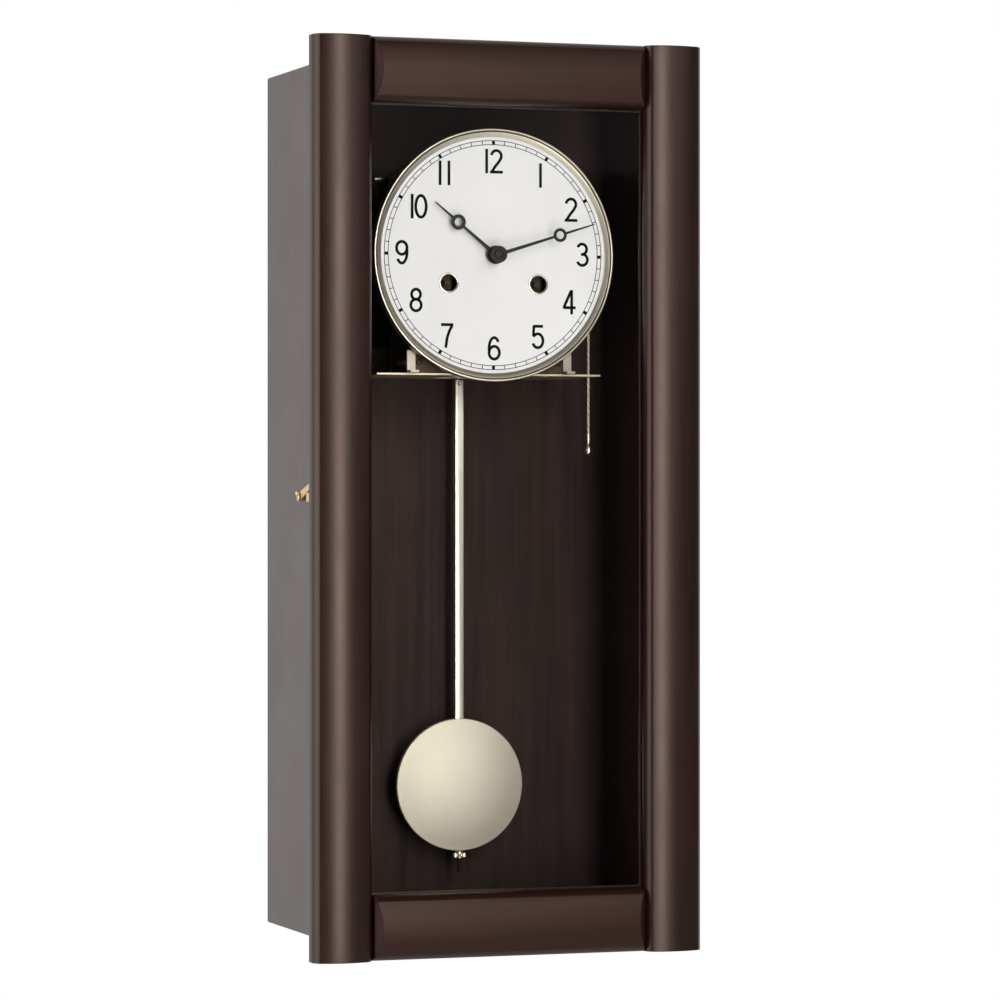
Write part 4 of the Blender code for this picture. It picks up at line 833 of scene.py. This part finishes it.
for side, node, x in (("strike", "grommet_left", -GROMMET_X), ("going", "grommet_right", GROMMET_X)):
    profile = [(GROMMET_OUT - 0.35, 100.7), (GROMMET_OUT - 0.12, 100.6), (GROMMET_OUT, 100.38),
               (GROMMET_OUT, 100.0), (6.0, 100.0), (6.0, 97.9), (GROMMET_IN, 97.9), (GROMMET_IN, 100.3),
               (GROMMET_IN + 0.12, 100.55), (GROMMET_IN + 0.38, 100.7)]
    ring = lathe(side + "_grommet", profile, (x, GROMMET_Z), steps=72, closed=True, smooth=30.0)
    placed(ring, grommet_metal, "case", [node])
    # the bore below the rim gets the painted shade
    second_finish(ring, well_shade, in_well)


# ---- hands

def dial_turn(points, angle):
    """Points drawn along an upright hand, turned clockwise from twelve about the dial's centre."""
    turn = radians(angle)
    return [(DIAL_CENTRE[0] + u * cos(turn) + v * sin(turn), DIAL_CENTRE[1] - u * sin(turn) + v * cos(turn))
            for u, v in points]


def clock_hand(name, depth, angle, length, ring_at, ring_out, ring_in, boss, bore, root):
    """A tapering blade broken by an open ring, on a boss with a low step round its bore."""
    low, high = depth - 0.45, depth + 0.45
    blade_low, blade_high = low + 0.1, high - 0.12
    thick = at(0.0, blade_high - blade_low, 0.0)
    neck, tip_start = ring_at - ring_out + 0.7, ring_at + ring_out - 0.7
    shapes = ([(-root / 2, boss - 1.2), (root / 2, boss - 1.2), (0.8, neck), (-0.8, neck)],
              [(-0.85, tip_start), (0.85, tip_start), (0.42, length - 0.35), (0.2, length), (-0.2, length),
               (-0.42, length - 0.35)])
    blades = [eased(sawn(name + "_blade", upright(dial_turn(shape, angle), blade_low), thick), 0.14, 2)
              for shape in shapes]
    ring_centre = dial_turn([(0.0, ring_at)], angle)[0]
    ring = lathe(name + "_ring", [(ring_out - 0.15, high), (ring_out, high - 0.15), (ring_out, low + 0.1),
                                  (ring_out - 0.1, low), (ring_in + 0.1, low), (ring_in, low + 0.1),
                                  (ring_in, high - 0.15), (ring_in + 0.15, high)],
                 ring_centre, steps=56, closed=True)
    hub = lathe(name, [(boss - 0.25, high - 0.1), (boss, high - 0.35), (boss, low + 0.12), (boss - 0.12, low),
                       (bore, low), (bore, high), (boss - 1.5, high), (boss - 1.65, high - 0.14),
                       (boss - 1.8, high - 0.1)], DIAL_CENTRE, steps=72, closed=True)
    return combined(hub, "UNION", [ring, *blades])


minute_hand = clock_hand("minute_pointer", depth=111.5, angle=72.5, length=69.0, ring_at=44.0, ring_out=4.5,
                         ring_in=2.6, boss=5.5, bore=2.5, root=2.4)
placed(minute_hand, hand_paint, "minute", ["minute_hand"])
hour_hand = clock_hand("hour_pointer", depth=104.5, angle=309.0, length=53.3, ring_at=33.0, ring_out=5.0,
                       ring_in=2.65, boss=6.0, bore=3.7, root=2.6)
placed(hour_hand, hand_paint, "hour", ["hour_hand"])
nut = lathe("hand_collet_nut", [(1.3, 114.1), (1.9, 114.1), (2.15, 114.0), (2.3, 113.75), (2.4, 113.5),
                                (2.95, 113.42), (3.2, 113.15), (3.2, 112.6), (3.05, 112.4), (1.3, 112.4)],
            DIAL_CENTRE, steps=64, closed=True, smooth=30.0)
placed(nut, hand_paint, "minute", ["hand_nut"])


# ---- pendulum

PENDULUM_DEPTH = 29.3
ROD_HALF, ROD_THICK, ROD_TOP, ROD_FOOT = 2.8, 1.0, 79.0, -230.8     # half its width and half its thickness
SLOT_Z = 76.8
LEADER = 1.0


def pendulum_stick():
    rod = block("rod_blank", (-ROD_HALF, ROD_HALF), (PENDULUM_DEPTH - ROD_THICK, PENDULUM_DEPTH + ROD_THICK),
                (ROD_FOOT, ROD_TOP), 0.2, 3)
    slot = block("slot", (-LEADER - 0.3, LEADER + 0.3), (PENDULUM_DEPTH - 4.0, PENDULUM_DEPTH + 4.0),
                 (SLOT_Z - LEADER - 0.3, SLOT_Z + LEADER + 0.3))
    combined(rod, "DIFFERENCE", [slot])
    root, crest, pitch, turns, foot = 1.0, 1.25, 0.5, 38, -249.7
    thread = [(0.0, foot), (0.75, foot)]
    for i in range(turns):
        z = foot + 0.3 + i * pitch
        thread += [(root, z), (crest, z + 0.3 * pitch), (crest, z + 0.5 * pitch), (root, z + 0.8 * pitch)]
    thread += [(root, foot + 0.3 + turns * pitch), (0.0, foot + 0.3 + turns * pitch)]
    spindle = lathe("rating_thread", thread, (0.0, PENDULUM_DEPTH), "up", steps=28)
    return combined(named(rod, "pendulum_stick"), "UNION", [spindle])


stick = placed(pendulum_stick(), rod_metal, "pendulum", ["pendulum_rod"])
second_finish(stick, dark_steel, lambda x, depth, z: z < ROD_FOOT - 0.5)


def lens_bob():
    """A spun lens with a rounded rim and a channel behind for the rod."""
    radius, rim, rise, steps = 44.1, 1.5, 6.0, 18
    cap = [(radius * i / steps, rim + rise * (1 - (i / steps) ** 2)) for i in range(steps)]
    cap += [(radius - 0.45, rim + 0.22), (radius - 0.12, rim - 0.1), (radius, rim - 0.55)]
    front = [(r, PENDULUM_DEPTH + t) for r, t in cap]
    back = [(r, PENDULUM_DEPTH - t + max(t - rim, 0.0) * 0.25) for r, t in reversed(cap)]
    lens = lathe("lens_bob", front + back, BOB_CENTRE, steps=144, smooth=30.0)
    channel = block("channel", (-ROD_HALF - 0.3, ROD_HALF + 0.3), (10.0, PENDULUM_DEPTH + 1.3),
                    (BOB_CENTRE[1] - 50.0, BOB_CENTRE[1] + 50.0))
    return combined(lens, "DIFFERENCE", [channel])


placed(lens_bob(), bob_metal, "pendulum", ["pendulum_bob"])


def knurled_nut():
    """A hub and a rim milled with fine ridges."""
    top, foot, ridges = -235.1, -239.7, 48
    outline = [(r * cos(pi * step / ridges), r * sin(pi * step / ridges))
               for i in range(ridges) for r, step in ((4.65, 2 * i), (4.4, 2 * i + 1))]
    bore = arc((0.0, 0.0), (1.4, 1.4), 0.0, 360.0 * (2 * ridges - 1) / (2 * ridges), 2 * ridges - 1)
    level = top - 1.2
    rim_line, bore_line = ([at(x, PENDULUM_DEPTH + y, level) for x, y in loop] for loop in (outline, bore))
    disc = sawn("milled_rim", rim_line, at(0.0, 0.0, -2.4), bore_line)
    hub = lathe("knurled_rating_nut", [(1.4, top), (2.7, top), (2.9, top - 0.2), (2.9, foot + 0.9),
                                       (2.6, foot + 0.7), (2.6, foot), (1.4, foot)], (0.0, PENDULUM_DEPTH), "up",
                steps=48, closed=True)
    return combined(hub, "UNION", [disc])


placed(knurled_nut(), pale_brass, "rating_nut", ["rating_nut"])


def leader_hook():
    """The wire that carries the rod: down from the spring, back behind the rod and forward through its slot."""
    behind = PENDULUM_DEPTH - ROD_THICK - 0.7 - LEADER
    corners = [(PENDULUM_DEPTH, 183.7), (PENDULUM_DEPTH, 92.0), (behind, 85.0), (behind, SLOT_Z),
               (PENDULUM_DEPTH + 2.4, SLOT_Z)]
    points, reach, steps = [corners[0]], 0.9, 6
    for before, corner, after in zip(corners, corners[1:], corners[2:]):
        ends = []
        for other in (before, after):
            run = hypot(other[0] - corner[0], other[1] - corner[1])
            ends.append(tuple(c + (o - c) * reach / run for c, o in zip(corner, other)))
        for t in (i / steps for i in range(steps + 1)):
            points.append(tuple((1 - t) ** 2 * a + 2 * t * (1 - t) * c + t ** 2 * b
                                for a, c, b in zip(ends[0], corner, ends[1])))
    points.append(corners[-1])
    hook = bent_wire("leader_hook", [at(0.0, depth, z) for depth, z in points], LEADER, 6)
    select_only(hook)
    bpy.ops.object.convert(target="MESH")
    hook.data.name = "leader_hook"
    edit(hook)
    close_edit()
    return hook


placed(leader_hook(), steel, "pendulum", ["pendulum_leader"])


# ---- strike, pull and latch

def struck_bell():
    """An upright bell with a rounded shoulder, a straight wall and a hole for its post."""
    outside = [(2.3, 220.7), (6.0, 220.68), (10.0, 220.5), (13.0, 220.05), (15.5, 219.2), (17.4, 218.0),
               (18.8, 216.3), (19.6, 214.2), (20.0, 211.5), (20.2, 208.5), (20.35, 206.2), (20.5, 204.9),
               (20.5, 204.2)]
    inside = [(19.2, 204.2), (19.0, 205.2), (18.8, 208.5), (18.5, 211.8), (17.9, 214.2), (16.8, 216.2),
              (15.2, 217.6), (12.8, 218.5), (10.0, 219.0), (6.0, 219.2), (2.3, 219.2)]
    return lathe("struck_bell", outside + inside, (BELL_X, STRIKE_DEPTH), "up", steps=120, closed=True, smooth=30.0)


placed(struck_bell(), bell_metal, "case", ["bell"])

HAMMER_X, HAMMER_Z = -56.75, 211.5
cap_end = [(0.0, 4.0), (0.9, 3.85), (1.6, 3.35), (2.0, 2.6), (2.07, 1.8)]
cap_profile = [(r, HAMMER_X + u) for r, u in cap_end] + [(r, HAMMER_X - u) for r, u in cap_end[::-1]]
hammer_cap = lathe("hammer_head_cap", cap_profile, (STRIKE_DEPTH, HAMMER_Z), "right", steps=32, smooth=30.0)
placed(hammer_cap, pale_brass, "hammer")

BEAD_TOP = 43.5
bead_profile = [(0.0, 0.0), (1.15, 0.0), (1.4, 0.12), (1.5, 0.4), (1.5, 6.2), (1.4, 6.5), (1.15, 6.7), (1.1, 6.95),
                (1.25, 7.4), (1.62, 8.1), (2.06, 9.1), (2.38, 10.2), (2.56, 11.2), (2.6, 12.0), (2.5, 12.8),
                (2.22, 13.5), (1.74, 14.1), (1.0, 14.5), (0.0, 14.6)]
bead = lathe("pull_drop", [(r, BEAD_TOP - down) for r, down in bead_profile], (CORD_X, CORD_DEPTH), "up", steps=48,
             smooth=60.0)
placed(bead, pale_brass, "pull", ["pull_bead"])
placed(pull_cord, cord_cotton, "pull", ["pull_cord"])

LATCH_DEPTH, LATCH_Z, LATCH_REACH, LATCH_LIFT = 91.0, 1.0, 27.0, 14.0
LATCH_OUT, LATCH_IN = -129.2, -127.8


def brass_hook():
    """A hook with eased edges, drawn engaged and then raised about its screw, and the ball at its tail."""
    shape = [(-2.2, -2.4), (-5.2, 2.6), (-3.6, 4.4), (-0.5, 3.0), (LATCH_REACH - 3.0, 3.2),
             (LATCH_REACH + 3.6, 2.4), (LATCH_REACH + 4.0, -1.6), (LATCH_REACH + 1.6, -2.0),
             (LATCH_REACH + 1.6, 1.6), (LATCH_REACH - 1.6, 1.6), (LATCH_REACH - 1.6, -1.4), (22.0, -0.8),
             (2.2, -2.4)]
    lift = radians(LATCH_LIFT)
    raised = [at(LATCH_IN, LATCH_DEPTH + a * cos(lift) - b * sin(lift), LATCH_Z + a * sin(lift) + b * cos(lift))
              for a, b in shape]
    hook = eased(sawn("brass_hook", raised, at(LATCH_OUT - LATCH_IN, 0.0, 0.0)), 0.3, 3)
    bore = lathe("hook_bore", [(0.0, LATCH_OUT - 1.0), (1.6, LATCH_OUT - 1.0), (1.6, LATCH_IN + 1.0),
                               (0.0, LATCH_IN + 1.0)], (LATCH_DEPTH, LATCH_Z), "right", steps=32)
    tail = (LATCH_DEPTH - 5.6, LATCH_Z + 2.4)
    middle = (LATCH_OUT + LATCH_IN) / 2
    ball = lathe("hook_ball", [(1.7 * sin(radians(15.0 * i)), middle - 1.7 * cos(radians(15.0 * i)))
                               for i in range(13)], tail, "right", steps=32)
    combined(hook, "DIFFERENCE", [bore])
    return combined(hook, "UNION", [ball])


placed(brass_hook(), brass, "latch", ["latch_hook"])


def slotted_head(name, centre, axis, seat, radius, height, away, turn):
    """A domed screw head standing on a seat; away is +1 or -1 along its axis and turn sets its slot."""
    rise = [(radius, 0.0), (radius, 0.35 * height), (0.93 * radius, 0.62 * height), (0.72 * radius, 0.85 * height),
            (0.4 * radius, 0.97 * height), (0.0, height)]
    head = lathe(name, [(0.0, seat)] + [(r, seat + away * h) for r, h in rise], centre, axis, steps=32)
    half, deep = 0.13 * radius, seat + away * 0.55 * height
    top = seat + away * (height + 1.0)
    across = (centre[0] - 2 * radius, centre[0] + 2 * radius)
    sunk, high = sorted((deep, top)), (centre[1] - half, centre[1] + half)
    if axis == "right":
        cutter, middle, about = block("slot", sunk, across, high), at(deep, *centre), "X"
    else:
        cutter, middle, about = block("slot", across, sunk, high), at(centre[0], deep, centre[1]), "Y"
    edit(cutter)
    bpy.ops.transform.rotate(value=radians(turn), orient_axis=about, center_override=middle)
    bpy.ops.object.mode_set(mode="OBJECT")
    return combined(head, "DIFFERENCE", [cutter])


latch_screw = gathered("latch_pivot_screw", [
    lathe("latch_shank", [(0.0, -124.8), (2.6, -124.8), (2.6, -127.5), (1.5, -127.5), (1.5, -129.5), (0.0, -129.5)],
          (LATCH_DEPTH, LATCH_Z), "right", steps=40),
    slotted_head("latch_head", (LATCH_DEPTH, LATCH_Z), "right", -129.5, 3.0, 1.2, -1, 35.0)])
placed(latch_screw, brass, "case", ["latch_screw"])

# screws of the hinges: three in each case leaf, on the case's right side
HINGE_Z = 190.0
for which, middle in zip(ENDS, (HINGE_Z, -HINGE_Z)):
    heads = [slotted_head("hinge_screw", (depth, middle + offset), "right", 126.0, 1.7, 0.6, 1, turn)
             for depth, offset, turn in ((101.5, 12.5, 20.0), (108.0, 0.0, 75.0), (101.5, -12.5, -35.0))]
    placed(gathered("hinge_screws_" + which, heads), brass, "case")

# screws that hold the front plate to its pillars
plate_screws = [slotted_head("plate_screw", (x, z), "forward", 90.5, 2.2, 1.1, 1, turn)
                for x, z, turn in ((-48.0, 205.0, 10.0), (48.0, 205.0, 65.0), (-48.0, 88.8, -30.0),
                                   (48.0, 88.8, 40.0))]
placed(gathered("plate_screws", plate_screws), dark_steel, "case")


# ---- room

def studio_world():
    """A white room behind the clock that is dim in front of it, and plain white where the camera sees it."""
    world = bpy.data.worlds.new("studio")
    bpy.context.scene.world = world
    world.use_nodes = True
    tree = world.node_tree
    tree.nodes.clear()
    place = node_of(tree, "ShaderNodeTexCoord")
    parts = node_of(tree, "ShaderNodeSeparateXYZ")
    wire_up(tree, place.outputs["Generated"], parts.inputs["Vector"])
    room = remapped(tree, parts.outputs["Y"], -0.25, 0.45, 0.12, 0.95)
    path = node_of(tree, "ShaderNodeLightPath")
    seen = reckoned(tree, "MAXIMUM", room, path.outputs["Is Camera Ray"])
    light = node_of(tree, "ShaderNodeBackground")
    wire_up(tree, seen, light.inputs["Strength"])
    light.inputs["Color"].default_value = (1.0, 1.0, 1.0, 1.0)
    result = node_of(tree, "ShaderNodeOutputWorld")
    wire_up(tree, light.outputs["Background"], result.inputs["Surface"])


def soft_box(name, place, aim, size, power, colour=(1.0, 1.0, 1.0)):
    data = bpy.data.lights.new(name, "AREA")
    data.shape = "RECTANGLE"
    data.size, data.size_y = size
    data.energy = power
    data.color = colour
    lamp = bpy.data.objects.new(name, data)
    lamp.location = place
    lamp.rotation_euler = (Vector(aim) - Vector(place)).to_track_quat("-Z", "Y").to_euler()
    bpy.context.scene.collection.objects.link(lamp)


studio_world()
soft_box("strip_box", (0.0, -1.2, 0.05), (0.0, 0.0, 0.05), (0.18, 1.1), 8.4, (1.0, 0.97, 0.94))
soft_box("right_box", (0.95, -2.4, 1.15), (0.0, 0.0, 0.0), (2.0, 1.6), 12.5)
soft_box("left_box", (-3.2, -0.4, 0.3), (0.0, 0.0, 0.0), (2.6, 2.2), 52.0)

select_none()
bpy.ops.mesh.primitive_circle_add(vertices=96, radius=3.0, fill_type="NGON", location=(0.0, -0.2, -0.9))
floor = named(bpy.context.object, "studio_floor")
bpy.ops.object.transform_apply(location=True)
pale_floor = plain_coating("pale_floor", (0.80, 0.80, 0.79, 1.0), (0.77, 0.77, 0.76, 1.0), (0.6, 0.7))
floor.data.materials.append(pale_floor)

settings = bpy.context.scene.view_settings
settings.view_transform = "Standard"
settings.look = "None"
